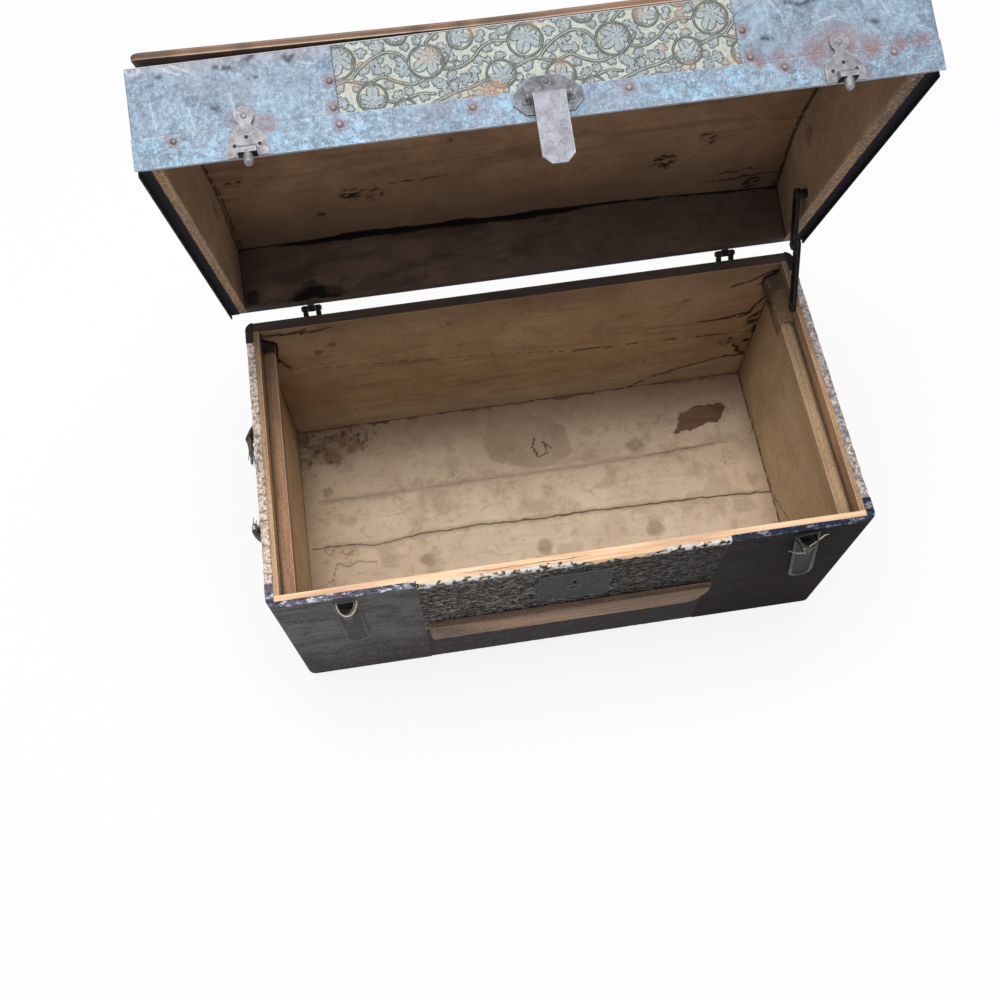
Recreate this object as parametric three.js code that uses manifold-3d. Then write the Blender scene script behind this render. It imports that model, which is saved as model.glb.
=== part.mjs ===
// Dome top trunk, in millimetres, +Z up: X along the length, -Y the front, origin on the floor
// at the centre of the case. The lid is drawn shut and then turned open about its hinge pins.
import * as THREE from 'three';
import { mergeVertices } from 'three/addons/utils/BufferGeometryUtils.js';
import Module from 'manifold-3d';

const wasm = await Module();
wasm.setup();

// Driving dimensions of the case, over its sheet metal
const CASE_LENGTH = 813;
const CASE_DEPTH = 442;
const CASE_HEIGHT = 318;
const CORNER_RADIUS = 12;
const WALL_LONG = 15.2;
const WALL_END = 17.5;
const FLOOR_THICKNESS = 14;
const SHEET = 1;
const SKIN_GAP = 0.1;
const SEAT = 0.3;
const SEAM = 0.3;
const CUT_OVERRUN = 2;
const PANEL_WIDTH = 420;
const CORNER_WRAP = 34;
const FOLD_FRONT = 8;
const FOLD_END = 11;
const FLOOR_JOINT_SHARES = [0.448, 0.655];
const BACK_JOINT_SHARE = 0.6;

// Driving dimensions of the lid
const LID_OVERHANG_END = 16.5;
const LID_OVERHANG_FRONT = 8;
const LID_WALL_HEIGHT = 92;
const LID_WALL_LONG = 15;
const LID_WALL_LEFT = 22;
const LID_WALL_RIGHT = 28;
const DOME_RISE = 26;
const DOME_BOARD = 10;
const DOME_JOINT_SHARES = [0.34, 0.68];
const BAND_SHEET = 1.8;
const BAND_RISE = 26.5;
const BAND_FLANGE = 1.2;
const BAND_FLANGE_END = 11;
const BAND_FLANGE_FRONT = 12;
const SKIRT = 7;
const LID_SEAT = 0.5;
const LID_OPEN = THREE.MathUtils.degToRad(74);

// Wooden slats and tray cleats
const SLAT_WIDTH = 34;
const SLAT_THICKNESS = 8;
const SLAT_BEVEL = 2;
const SLAT_INSET = 6;
const SLAT_NAMES = ['front', 'second', 'third', 'rear'];
const SLAT_SHARES = [0, 0.29, 0.63, 0.924];
const FRONT_SLAT_LENGTH = 414;
const FRONT_SLAT_HEIGHT = 53;
const FRONT_SLAT_THICKNESS = 9;
const FRONT_SLAT_FOOT = 113;
const FRONT_SLAT_ROUND = 7;
const FRONT_SLAT_SHIFT = 3;
const CLEAT_WIDTH = 17;
const CLEAT_HEIGHT = 20;
const CLEAT_DROP = 29;

// Hinges
const HINGE_X = 308;
const HINGE_WIDTH = 26;
const HINGE_PLATE = 2;
const HINGE_STANDOFF = 11;
const HINGE_LIFT = 1;
const HINGE_CASE_PLATE = 58;
const HINGE_LID_PLATE = 62;
const HINGE_PLATE_CLEAR = 11;
const KNUCKLE_RADIUS = 4.6;
const KNUCKLE_BORE = 2.5;
const KNUCKLE_CENTRE = 10;
const KNUCKLE_GAP = 0.6;
const HINGE_PIN_RADIUS = 2.2;
const HINGE_PIN_HEAD = 1.5;

// Hasp, its bracket and the lock plate
const HASP_X = 4;
const HASP_PIN_RISE = 23;
const HASP_PLATE = 2;
const HASP_PLATE_WIDTH = 74;
const HASP_PLATE_RISE = 24;
const HASP_PLATE_DROP = 17;
const HASP_CHAMFER = 12;
const HASP_TOP_WIDTH = 30;
const HASP_LUG = 5;
const HASP_LUG_HEIGHT = 18;
const HASP_LUG_DEPTH = 9;
const HASP_PIN_RADIUS = 2.2;
const HASP_PIN_OUT = 6;
const HASP_PIN_CLEARANCE = 0.3;
const TONGUE_WIDTH = 34;
const TONGUE_LENGTH = 76;
const TONGUE_PLATE = 2.4;
const TONGUE_FLANGE = 5;
const TONGUE_CHAMFER = 9;
const TONGUE_SIDE_GAP = 0.5;
const TONGUE_BARREL_RADIUS = 4.4;
const STAPLE_WIDTH = 14;
const STAPLE_HEIGHT = 10;
const STAPLE_REACH = 6;
const STAPLE_BAR = 2.6;
const STAPLE_DROP = 48;
const LOCK_PLATE_WIDTH = 101;
const LOCK_PLATE_HEIGHT = 92;
const LOCK_PLATE_TOP = 286;
const LOCK_PLATE_SHIFT = 3;
const LOCK_PLATE = 1.4;
const KEYHOLE_TOP = 262;
const KEYHOLE_WIDTH = 5.4;
const KEYHOLE_LENGTH = 18;
const KEY_RING_RADIUS = 10;
const KEY_RING_DROP = 25;
const KEY_RING_WIDTH = 2.4;
const KEY_RING_HEIGHT = 1;
const NAIL_HOLE_RADIUS = 1.3;
const LOCK_NAIL_INSET = 8;

// Dowel plates on the lid and their sockets on the case
const DOWEL_LEFT_X = 307;
const DOWEL_RIGHT_X = 315;
const DOWEL_PLATE = 2;
const DOWEL_HEAD_RISE = 43;
const DOWEL_HEAD_RADIUS = 10;
const DOWEL_NECK = 13;
const DOWEL_NECK_RISE = 31;
const DOWEL_FOOT_WIDTH = 42;
const DOWEL_SHOULDER_RISE = 13;
const DOWEL_HOLE_RADIUS = 2.3;
const DOWEL_HOLES_X = 12.8;
const DOWEL_HOLES_RISE = 11.5;
const DOWEL_TOP_HOLE_RISE = 20;
const DOWEL_LUG_WIDTH = 19;
const DOWEL_LUG_HEIGHT = 9;
const DOWEL_LUG_DEPTH = 9;
const DOWEL_LUG_BEVEL = 4;
const DOWEL_RADIUS = 5;
const DOWEL_DROP = 13;
const SOCKET_TOP = 306;
const SOCKET_HEIGHT = 158;
const SOCKET_WIDTH = 33;
const SOCKET_LEAN = THREE.MathUtils.degToRad(12);
const SOCKET_PLATE = 2.4;
const CUP_RADIUS = 14.5;
const CUP_REACH = 22;
const CUP_WALL = 1.8;
const CUP_DEPTH = 28;
const CUP_HEIGHT = 62;
const CUP_FOOT_RADIUS = 6;

// Two-link lid stay, on the right only
const STAY_WIDTH = 16;
const STAY_BAR = 5;
const STAY_RIVET_RADIUS = 5;
const STAY_RIVET_HEAD = 1.6;
const STAY_BOSS_RADIUS = 6;
const STAY_CASE_BACK = 93;
const STAY_CASE_DROP = 3;
const STAY_LID_BACK = 117;
const STAY_LID_RISE = 20;
const STAY_UPPER_SHARE = 0.43;
const STAY_GAP = 0.5;

// Leather handles and their metal caps
const HANDLE_Z = 242;
const HANDLE_SPAN_SHARE = 0.4525;
const STRAP_WIDTH = 30;
const STRAP_THICKNESS = 6;
const STRAP_BOW = 20;
const STRAP_TAIL = 16;
const STUB_REAR_SHARE = 0.24;
const STUB_FRONT_SHARE = 0.2;
const STUB_SPLAY = 22;
const CAP_WIDTH = 42;
const CAP_SHEET = 1.6;
const CAP_FLANGE = 12;
const CAP_HOOD = 22;

// Round head of a rivet
const RIVET_RADIUS = 3.6;
const RIVET_HEIGHT = 2;

// Worked-out planes and places
const WOOD_X = CASE_LENGTH / 2 - SHEET - SKIN_GAP;
const WOOD_Y = CASE_DEPTH / 2 - SHEET - SKIN_GAP;
const END_INNER = WOOD_X - WALL_END;
const LONG_INNER = WOOD_Y - WALL_LONG;
const CASE_FACE = CASE_DEPTH / 2;
const FLANGE_Z = CASE_HEIGHT + SKIN_GAP + SHEET + LID_SEAT;
const RIM_Z = FLANGE_Z + BAND_FLANGE;
const SKIRT_Z = RIM_Z - SKIRT;
const BAND_TOP = RIM_Z + BAND_RISE;
const LID_FRONT = -CASE_DEPTH / 2 - LID_OVERHANG_FRONT;
const LID_END = CASE_LENGTH / 2 + LID_OVERHANG_END;
const LID_WOOD_X = LID_END - BAND_SHEET - SKIN_GAP;
const LID_WOOD_FRONT = LID_FRONT + BAND_SHEET + SKIN_GAP;
const LID_WOOD_BACK = CASE_DEPTH / 2 - SHEET - SKIN_GAP;
const LID_INNER_LEFT = LID_WALL_LEFT - LID_WOOD_X;
const LID_INNER_RIGHT = LID_WOOD_X - LID_WALL_RIGHT;
const SPRING_Z = RIM_Z + LID_WALL_HEIGHT;
const DOME_MIDDLE = (LID_WOOD_FRONT + LID_WOOD_BACK) / 2;
const DOME_HALF = (LID_WOOD_BACK - LID_WOOD_FRONT) / 2;
const DOME_RADIUS = (DOME_HALF ** 2 + DOME_RISE ** 2) / (2 * DOME_RISE);
const DOME_CENTRE_Z = SPRING_Z + DOME_RISE - DOME_RADIUS;
const PIVOT_Y = CASE_DEPTH / 2 + HINGE_STANDOFF;
const PIVOT_Z = CASE_HEIGHT + HINGE_LIFT;
const HANDLE_SPAN = HANDLE_SPAN_SHARE * CASE_DEPTH;
const DOME_STEPS = 20;
const ROUND_STEPS = 24;

// Finishes
const FINISHES = {
  board: { color: 0x8a6d4d, roughness: 0.85, metalness: 0 },
  floor: { color: 0xb99f7f, roughness: 0.85, metalness: 0 },
  lidWood: { color: 0x5f4c39, roughness: 0.85, metalness: 0 },
  slat: { color: 0xa47c55, roughness: 0.75, metalness: 0 },
  zinc: { color: 0x8797a8, roughness: 0.5, metalness: 0.7 },
  darkSheet: { color: 0x45474b, roughness: 0.6, metalness: 0.6 },
  tin: { color: 0xa9a389, roughness: 0.55, metalness: 0.4 },
  iron: { color: 0x77736f, roughness: 0.55, metalness: 0.8 },
  blackIron: { color: 0x1d1c1b, roughness: 0.5, metalness: 0.7 },
  leather: { color: 0x3b332d, roughness: 0.8, metalness: 0 },
};

const trunk = new THREE.Group();
const turned = new THREE.Group();
const lid = new THREE.Group();
turned.position.set(0, PIVOT_Y, PIVOT_Z);
turned.rotation.x = -LID_OPEN;
lid.position.set(0, -PIVOT_Y, -PIVOT_Z);
turned.add(lid);
trunk.add(turned);

function addTo(parent, name, geometry, finish) {
  const mesh = new THREE.Mesh(geometry, new THREE.MeshStandardMaterial(FINISHES[finish]));
  mesh.name = name;
  parent.add(mesh);
  return mesh;
}

// Outlines are lists of [a, b] points; a prism is one outline drawn out along an axis
function shapeOf(points, holes = []) {
  const shape = new THREE.Shape(points.map(([a, b]) => new THREE.Vector2(a, b)));
  for (const hole of holes) {
    shape.holes.push(new THREE.Path(hole.map(([a, b]) => new THREE.Vector2(a, b))));
  }
  return shape;
}

function drawOut(shape, depth, basis, start) {
  const geometry = new THREE.ExtrudeGeometry(shape, { depth, bevelEnabled: false, steps: 1 });
  geometry.applyMatrix4(new THREE.Matrix4().makeBasis(...basis));
  geometry.translate(...start);
  return geometry;
}

const AXIS_X = new THREE.Vector3(1, 0, 0);
const AXIS_Y = new THREE.Vector3(0, 1, 0);
const AXIS_Z = new THREE.Vector3(0, 0, 1);

function prismX(points, fromX, toX, holes) {
  return drawOut(shapeOf(points, holes), toX - fromX, [AXIS_Y, AXIS_Z, AXIS_X], [fromX, 0, 0]);
}

function prismY(points, fromY, toY, holes) {
  const basis = [AXIS_X, AXIS_Z, AXIS_Y.clone().negate()];
  return drawOut(shapeOf(points, holes), toY - fromY, basis, [0, toY, 0]);
}

function prismZ(points, fromZ, toZ, holes) {
  return drawOut(shapeOf(points, holes), toZ - fromZ, [AXIS_X, AXIS_Y, AXIS_Z], [0, 0, fromZ]);
}

function block(fromX, toX, fromY, toY, fromZ, toZ) {
  const geometry = new THREE.BoxGeometry(toX - fromX, toY - fromY, toZ - fromZ);
  geometry.translate((fromX + toX) / 2, (fromY + toY) / 2, (fromZ + toZ) / 2);
  return geometry;
}

function rodX(radius, fromX, toX, y, z, sides = ROUND_STEPS) {
  const geometry = new THREE.CylinderGeometry(radius, radius, toX - fromX, sides);
  geometry.rotateZ(Math.PI / 2);
  geometry.translate((fromX + toX) / 2, y, z);
  return geometry;
}

function circle(radius, a, b, sides = ROUND_STEPS) {
  return Array.from({ length: sides }, (_, i) => {
    const turn = (2 * Math.PI * i) / sides;
    return [a + radius * Math.cos(turn), b + radius * Math.sin(turn)];
  });
}

function arc(radius, a, b, from, to, steps) {
  return Array.from({ length: steps + 1 }, (_, i) => {
    const turn = from + ((to - from) * i) / steps;
    return [a + radius * Math.cos(turn), b + radius * Math.sin(turn)];
  });
}

// Solids for cutting and joining
function solid(geometry) {
  const bare = geometry.clone();
  bare.deleteAttribute('normal');
  bare.deleteAttribute('uv');
  const merged = mergeVertices(bare);
  const mesh = new wasm.Mesh({
    numProp: 3,
    vertProperties: Float32Array.from(merged.attributes.position.array),
    triVerts: Uint32Array.from(merged.index.array),
  });
  return new wasm.Manifold(mesh);
}

function surface(body) {
  const mesh = body.getMesh();
  const geometry = new THREE.BufferGeometry();
  geometry.setAttribute('position', new THREE.BufferAttribute(mesh.vertProperties, 3));
  geometry.setIndex(new THREE.BufferAttribute(mesh.triVerts, 1));
  geometry.computeVertexNormals();
  return geometry;
}

function join(first, ...others) {
  return surface(others.reduce((body, other) => body.add(solid(other)), solid(first)));
}

function cut(first, ...others) {
  return surface(others.reduce((body, other) => body.subtract(solid(other)), solid(first)));
}

function keep(first, other) {
  return surface(solid(first).intersect(solid(other)));
}

// A round rivet head whose flat side lies on the plane y, facing the front
function rivetHead(x, y, z) {
  const profile = arc(1, 0, 0, 0, Math.PI / 2, 4).map(
    ([a, b]) => new THREE.Vector2(RIVET_RADIUS * a, RIVET_HEIGHT * b),
  );
  profile[profile.length - 1].x = 0;
  const root = [[0, -HASP_PLATE / 2], [RIVET_RADIUS, -HASP_PLATE / 2]];
  const buried = root.map(([a, b]) => new THREE.Vector2(a, b));
  const head = new THREE.LatheGeometry([...buried, ...profile], ROUND_STEPS / 2);
  head.rotateX(Math.PI);
  head.translate(x, y, z);
  return head;
}

// Plan outline of the case at a given distance outside the wood, corners rounded
function planOutline(outset) {
  const x = WOOD_X - CORNER_RADIUS;
  const y = WOOD_Y - CORNER_RADIUS;
  const radius = CORNER_RADIUS + outset;
  const quarter = Math.PI / 2;
  const corners = [[x, y], [-x, y], [-x, -y], [x, -y]];
  return corners.flatMap(([a, b], i) => arc(radius, a, b, i * quarter, (i + 1) * quarter, 6));
}

// Half of that outline, cut straight across at a distance from the middle, for a board
function planStrip(fromY, toY, fromZ, toZ) {
  const strip = block(-CASE_LENGTH, CASE_LENGTH, fromY, toY, fromZ, toZ);
  return keep(prismZ(planOutline(0), fromZ, toZ), strip);
}

function buildCaseBoards() {
  const front = -WOOD_Y;
  const joints = FLOOR_JOINT_SHARES.map((share) => front + share * 2 * WOOD_Y);
  const floors = [['front', front, joints[0]], ['middle', ...joints], ['back', joints[1], WOOD_Y]];
  for (const [place, from, to] of floors) {
    addTo(trunk, `floor_board_${place}`, planStrip(from, to, 0, FLOOR_THICKNESS), 'floor');
  }
  const joint = BACK_JOINT_SHARE * CASE_HEIGHT;
  addTo(trunk, 'front_board', planStrip(front, -LONG_INNER, FLOOR_THICKNESS, CASE_HEIGHT), 'board');
  const lower = planStrip(LONG_INNER, WOOD_Y, FLOOR_THICKNESS, joint);
  addTo(trunk, 'back_board_lower', lower, 'board');
  addTo(trunk, 'back_board_upper', planStrip(LONG_INNER, WOOD_Y, joint, CASE_HEIGHT), 'board');
  for (const [side, sign] of [['left', -1], ['right', 1]]) {
    const [from, to] = [sign * END_INNER, sign * WOOD_X].sort((a, b) => a - b);
    const end = block(from, to, -LONG_INNER, LONG_INNER, FLOOR_THICKNESS, CASE_HEIGHT);
    addTo(trunk, `${side}_end_board`, end, 'board');
    const inner = sign * (END_INNER - SEAT);
    const [a, b] = [inner, inner - sign * CLEAT_WIDTH].sort((p, q) => p - q);
    const top = CASE_HEIGHT - CLEAT_DROP;
    const reach = LONG_INNER - SEAT;
    addTo(trunk, `tray_cleat_${side}`, block(a, b, -reach, reach, top - CLEAT_HEIGHT, top), 'board');
  }
}

// The case's sheet metal is one skin with a fold over the rim, cut along its seams
function buildCaseSheets() {
  const outside = SKIN_GAP + SHEET;
  const top = CASE_HEIGHT + SKIN_GAP;
  const skin = cut(
    prismZ(planOutline(outside), 0, top + SHEET),
    prismZ(planOutline(SKIN_GAP), -CUT_OVERRUN, top),
    block(
      FOLD_END - CASE_LENGTH / 2, CASE_LENGTH / 2 - FOLD_END,
      FOLD_FRONT - CASE_FACE, CASE_FACE + CUT_OVERRUN, top - CUT_OVERRUN, top + SHEET + CUT_OVERRUN,
    ),
  );
  const far = CASE_LENGTH;
  const panel = PANEL_WIDTH / 2;
  const wrap = CASE_FACE - CORNER_WRAP;
  const pieces = [
    ['front_sheet_left', -far, -panel - SEAM, -far, -wrap - SEAM, 'darkSheet'],
    ['front_tin_panel', -panel, panel, -far, -wrap - SEAM, 'tin'],
    ['front_sheet_right', panel + SEAM, far, -far, -wrap - SEAM, 'darkSheet'],
    ['left_end_tin', -far, 0, -wrap, wrap, 'tin'],
    ['right_end_tin', 0, far, -wrap, wrap, 'tin'],
    ['back_sheet', -far, far, wrap + SEAM, far, 'darkSheet'],
  ];
  for (const [name, fromX, toX, fromY, toY, finish] of pieces) {
    const region = block(fromX, toX, fromY, toY, -CUT_OVERRUN, CASE_HEIGHT + CASE_DEPTH);
    addTo(trunk, name, keep(skin, region), finish);
  }
}

// Worn hardwood slat across the front, its ends rounded off
function buildFrontSlat() {
  const half = FRONT_SLAT_LENGTH / 2;
  const back = -CASE_FACE - SEAT;
  const front = back - FRONT_SLAT_THICKNESS;
  const round = FRONT_SLAT_ROUND;
  const bend = (sign, turn) => [
    FRONT_SLAT_SHIFT + sign * (half - round + round * Math.cos(turn)),
    front + round - round * Math.sin(turn),
  ];
  const steps = [0, 1, 2, 3, 4].map((i) => (i / 4) * (Math.PI / 2));
  const outline = [
    [FRONT_SLAT_SHIFT - half, back], ...steps.map((turn) => bend(-1, turn)),
    ...steps.map((turn) => bend(1, turn)).reverse(), [FRONT_SLAT_SHIFT + half, back],
  ];
  const slat = prismZ(outline, FRONT_SLAT_FOOT, FRONT_SLAT_FOOT + FRONT_SLAT_HEIGHT);
  addTo(trunk, 'front_slat', slat, 'slat');
}

function buildLockPlate() {
  const back = -CASE_FACE - SEAT;
  const front = back - LOCK_PLATE;
  const bottom = LOCK_PLATE_TOP - LOCK_PLATE_HEIGHT;
  const half = LOCK_PLATE_WIDTH / 2;
  const middle = LOCK_PLATE_SHIFT;
  const outline = [
    [middle - half, bottom], [middle + half, bottom],
    [middle + half, LOCK_PLATE_TOP], [middle - half, LOCK_PLATE_TOP],
  ];
  const slot = KEYHOLE_WIDTH / 2;
  const keyhole = [
    ...arc(slot, middle, KEYHOLE_TOP - slot, 0, Math.PI, 6),
    [middle - slot, KEYHOLE_TOP - KEYHOLE_LENGTH], [middle + slot, KEYHOLE_TOP - KEYHOLE_LENGTH],
  ];
  const side = half - LOCK_NAIL_INSET;
  const nails = [-side, side].flatMap((x) => [bottom, LOCK_PLATE_TOP].map((z) => {
    const inset = z === bottom ? LOCK_NAIL_INSET : -LOCK_NAIL_INSET;
    return circle(NAIL_HOLE_RADIUS, middle + x, z + inset, 10);
  }));
  const plate = prismY(outline, front, back, [keyhole, ...nails]);
  const ringZ = KEYHOLE_TOP - KEY_RING_DROP;
  const ring = prismY(circle(KEY_RING_RADIUS, middle, ringZ), front - KEY_RING_HEIGHT, front + LOCK_PLATE / 2,
    [circle(KEY_RING_RADIUS - KEY_RING_WIDTH, middle, ringZ)]);
  addTo(trunk, 'lock_plate', join(plate, ring), 'darkSheet');
}

// Sawn points on the dome at a height above the underside of its boards
function domePoint(y, lift) {
  return [y, DOME_CENTRE_Z + Math.sqrt((DOME_RADIUS + lift) ** 2 - (y - DOME_MIDDLE) ** 2)];
}

function domeLine(fromY, toY, lift, steps = DOME_STEPS) {
  return Array.from({ length: steps + 1 }, (_, i) => domePoint(fromY + ((toY - fromY) * i) / steps, lift));
}

function buildLidBoards() {
  const ends = [['left', -LID_WOOD_X, LID_INNER_LEFT], ['right', LID_INNER_RIGHT, LID_WOOD_X]];
  const outline = [
    [LID_WOOD_FRONT, RIM_Z], [LID_WOOD_BACK, RIM_Z],
    ...domeLine(LID_WOOD_BACK, LID_WOOD_FRONT, -SEAT),
  ];
  for (const [side, from, to] of ends) {
    addTo(lid, `lid_${side}_end_board`, prismX(outline, from, to), 'lidWood');
  }
  const left = LID_INNER_LEFT + SEAT;
  const right = LID_INNER_RIGHT - SEAT;
  const top = SPRING_Z - SEAT;
  const frontInner = LID_WOOD_FRONT + LID_WALL_LONG;
  const backInner = LID_WOOD_BACK - LID_WALL_LONG;
  addTo(lid, 'lid_front_board', block(left, right, LID_WOOD_FRONT, frontInner, RIM_Z, top), 'lidWood');
  addTo(lid, 'lid_back_board', block(left, right, backInner, LID_WOOD_BACK, RIM_Z, top), 'lidWood');
  const depth = LID_WOOD_BACK - LID_WOOD_FRONT;
  const edges = [0, ...DOME_JOINT_SHARES, 1].map((share) => LID_WOOD_FRONT + share * depth);
  ['front', 'middle', 'rear'].forEach((place, i) => {
    const from = edges[i] + (i ? SEAM : 0);
    const to = edges[i + 1];
    const board = [...domeLine(from, to, 0, 8), ...domeLine(to, from, DOME_BOARD, 8)];
    addTo(lid, `dome_board_${place}`, prismX(board, -LID_WOOD_X, LID_WOOD_X), 'lidWood');
  });
}

function buildLidSheets() {
  const seam = BAND_TOP + SEAM;
  const topLift = DOME_BOARD + SKIN_GAP;
  const faceBack = LID_WOOD_FRONT - SKIN_GAP;
  const faceFront = faceBack - SHEET;
  const faceTop = domePoint(LID_WOOD_FRONT, topLift)[1] - SEAT;
  const endOut = LID_WOOD_X + SKIN_GAP + SHEET;
  const panel = PANEL_WIDTH / 2;
  const faces = [
    ['lid_front_sheet_left', -endOut, -panel - SEAM, 'zinc'],
    ['lid_front_tin_panel', -panel, panel, 'tin'],
    ['lid_front_sheet_right', panel + SEAM, endOut, 'zinc'],
  ];
  for (const [name, fromX, toX, finish] of faces) {
    addTo(lid, name, block(fromX, toX, faceFront, faceBack, seam, faceTop), finish);
  }
  const endOutline = [
    [LID_WOOD_FRONT, seam], [LID_WOOD_BACK - SEAT, seam],
    ...domeLine(LID_WOOD_BACK - SEAT, LID_WOOD_FRONT, topLift - SEAT),
  ];
  for (const [side, sign] of [['left', -1], ['right', 1]]) {
    const [from, to] = [sign * (LID_WOOD_X + SKIN_GAP), sign * endOut].sort((a, b) => a - b);
    addTo(lid, `lid_${side}_end_sheet`, prismX(endOutline, from, to), 'zinc');
  }
  const back = LID_WOOD_BACK + SKIN_GAP;
  const cover = [
    ...domeLine(faceFront, back, topLift), [back, RIM_Z], [back + SHEET, RIM_Z],
    ...domeLine(back + SHEET, faceFront, topLift + SHEET),
  ];
  addTo(lid, 'lid_dome_sheet', prismX(cover, -endOut, endOut), 'zinc');
}

// The angle band round the lid's lower edge, which hangs below the rim as a skirt
function buildRimBand() {
  const legBack = LID_FRONT + BAND_SHEET;
  const flangeTop = RIM_Z - SKIN_GAP;
  const flangeBottom = flangeTop - BAND_FLANGE + SKIN_GAP;
  const frontProfile = [
    [LID_FRONT, SKIRT_Z], [legBack, SKIRT_Z], [legBack, flangeBottom],
    [legBack + BAND_FLANGE_FRONT, flangeBottom], [legBack + BAND_FLANGE_FRONT, flangeTop],
    [legBack, flangeTop], [legBack, BAND_TOP], [LID_FRONT, BAND_TOP],
  ];
  addTo(lid, 'lid_band_front', prismX(frontProfile, -LID_END, LID_END), 'zinc');
  for (const [side, sign] of [['left', -1], ['right', 1]]) {
    const out = sign * LID_END;
    const inner = sign * (LID_END - BAND_SHEET);
    const flange = inner - sign * BAND_FLANGE_END;
    const profile = [
      [out, SKIRT_Z], [inner, SKIRT_Z], [inner, flangeBottom], [flange, flangeBottom],
      [flange, flangeTop], [inner, flangeTop], [inner, BAND_TOP], [out, BAND_TOP],
    ];
    const from = legBack + BAND_FLANGE_FRONT + SEAM;
    const ordered = sign < 0 ? profile : profile.reverse();
    addTo(lid, `lid_band_${side}`, prismY(ordered, from, LID_WOOD_BACK), 'zinc');
  }
}

function buildDomeSlats() {
  const seat = DOME_BOARD + SKIN_GAP + SHEET + SEAT;
  const front = LID_WOOD_FRONT - SKIN_GAP - SHEET;
  const half = LID_WOOD_X - SLAT_INSET;
  SLAT_SHARES.forEach((share, i) => {
    const from = front + share * (LID_WOOD_BACK - front);
    const to = from + SLAT_WIDTH;
    const top = seat + SLAT_THICKNESS;
    const outline = [
      ...domeLine(from, to, seat, 3), domePoint(to, top - SLAT_BEVEL),
      ...domeLine(to - SLAT_BEVEL, from + SLAT_BEVEL, top, 3), domePoint(from, top - SLAT_BEVEL),
    ];
    addTo(lid, `dome_slat_${SLAT_NAMES[i]}`, prismX(outline, -half, half), 'slat');
  });
}

// A hinge leaf: a plate on the back, a sloping neck and a knuckle round the pin
function hingeLeaf(x, knuckles, up, plateLength) {
  const plateBack = CASE_DEPTH / 2 + SEAT;
  const plateFront = plateBack + HINGE_PLATE;
  const near = PIVOT_Z + up * HINGE_PLATE_CLEAR;
  const far = near + up * plateLength;
  const [low, high] = [near, far].sort((a, b) => a - b);
  const half = HINGE_WIDTH / 2;
  const middle = (KNUCKLE_RADIUS + KNUCKLE_BORE) / 2;
  const slope = Math.PI / 4;
  const neck = [
    [plateBack, near - up * HINGE_PLATE], [plateFront, near + up * HINGE_PLATE],
    [PIVOT_Y - middle * Math.sin(slope / 2), PIVOT_Z + up * middle * Math.cos(slope / 2)],
    [PIVOT_Y - middle * Math.cos(slope / 2), PIVOT_Z + up * middle * Math.sin(slope / 2)],
  ];
  const outline = up < 0 ? neck : neck.reverse();
  const plate = block(x - half, x + half, plateBack, plateFront, low, high);
  const rings = knuckles.flatMap(([from, to]) => [
    prismX(circle(KNUCKLE_RADIUS, PIVOT_Y, PIVOT_Z), x + from, x + to),
    prismX(outline, x + from, x + to),
  ]);
  const bore = rodX(KNUCKLE_BORE, x - HINGE_WIDTH, x + HINGE_WIDTH, PIVOT_Y, PIVOT_Z);
  const body = rings.reduce((whole, piece) => whole.add(solid(piece)), solid(plate));
  return surface(body.subtract(solid(bore)));
}

function buildHinges() {
  const half = HINGE_WIDTH / 2;
  const centre = KNUCKLE_CENTRE / 2;
  for (const [side, x] of [['left', -HINGE_X], ['right', HINGE_X]]) {
    const outer = [[-half, -centre - KNUCKLE_GAP], [centre + KNUCKLE_GAP, half]];
    addTo(trunk, `hinge_${side}_case_leaf`, hingeLeaf(x, outer, -1, HINGE_CASE_PLATE), 'blackIron');
    addTo(lid, `hinge_${side}_lid_leaf`, hingeLeaf(x, [[-centre, centre]], 1, HINGE_LID_PLATE), 'blackIron');
    const end = half + SEAT;
    const pin = join(
      rodX(HINGE_PIN_RADIUS, x - end, x + end, PIVOT_Y, PIVOT_Z),
      rodX(KNUCKLE_BORE + HINGE_PIN_HEAD / 2, x + end, x + end + HINGE_PIN_HEAD, PIVOT_Y, PIVOT_Z),
      rodX(KNUCKLE_BORE + HINGE_PIN_HEAD / 2, x - end - HINGE_PIN_HEAD, x - end, PIVOT_Y, PIVOT_Z),
    );
    addTo(trunk, `hinge_${side}_pin`, pin, 'blackIron');
  }
}

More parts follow.
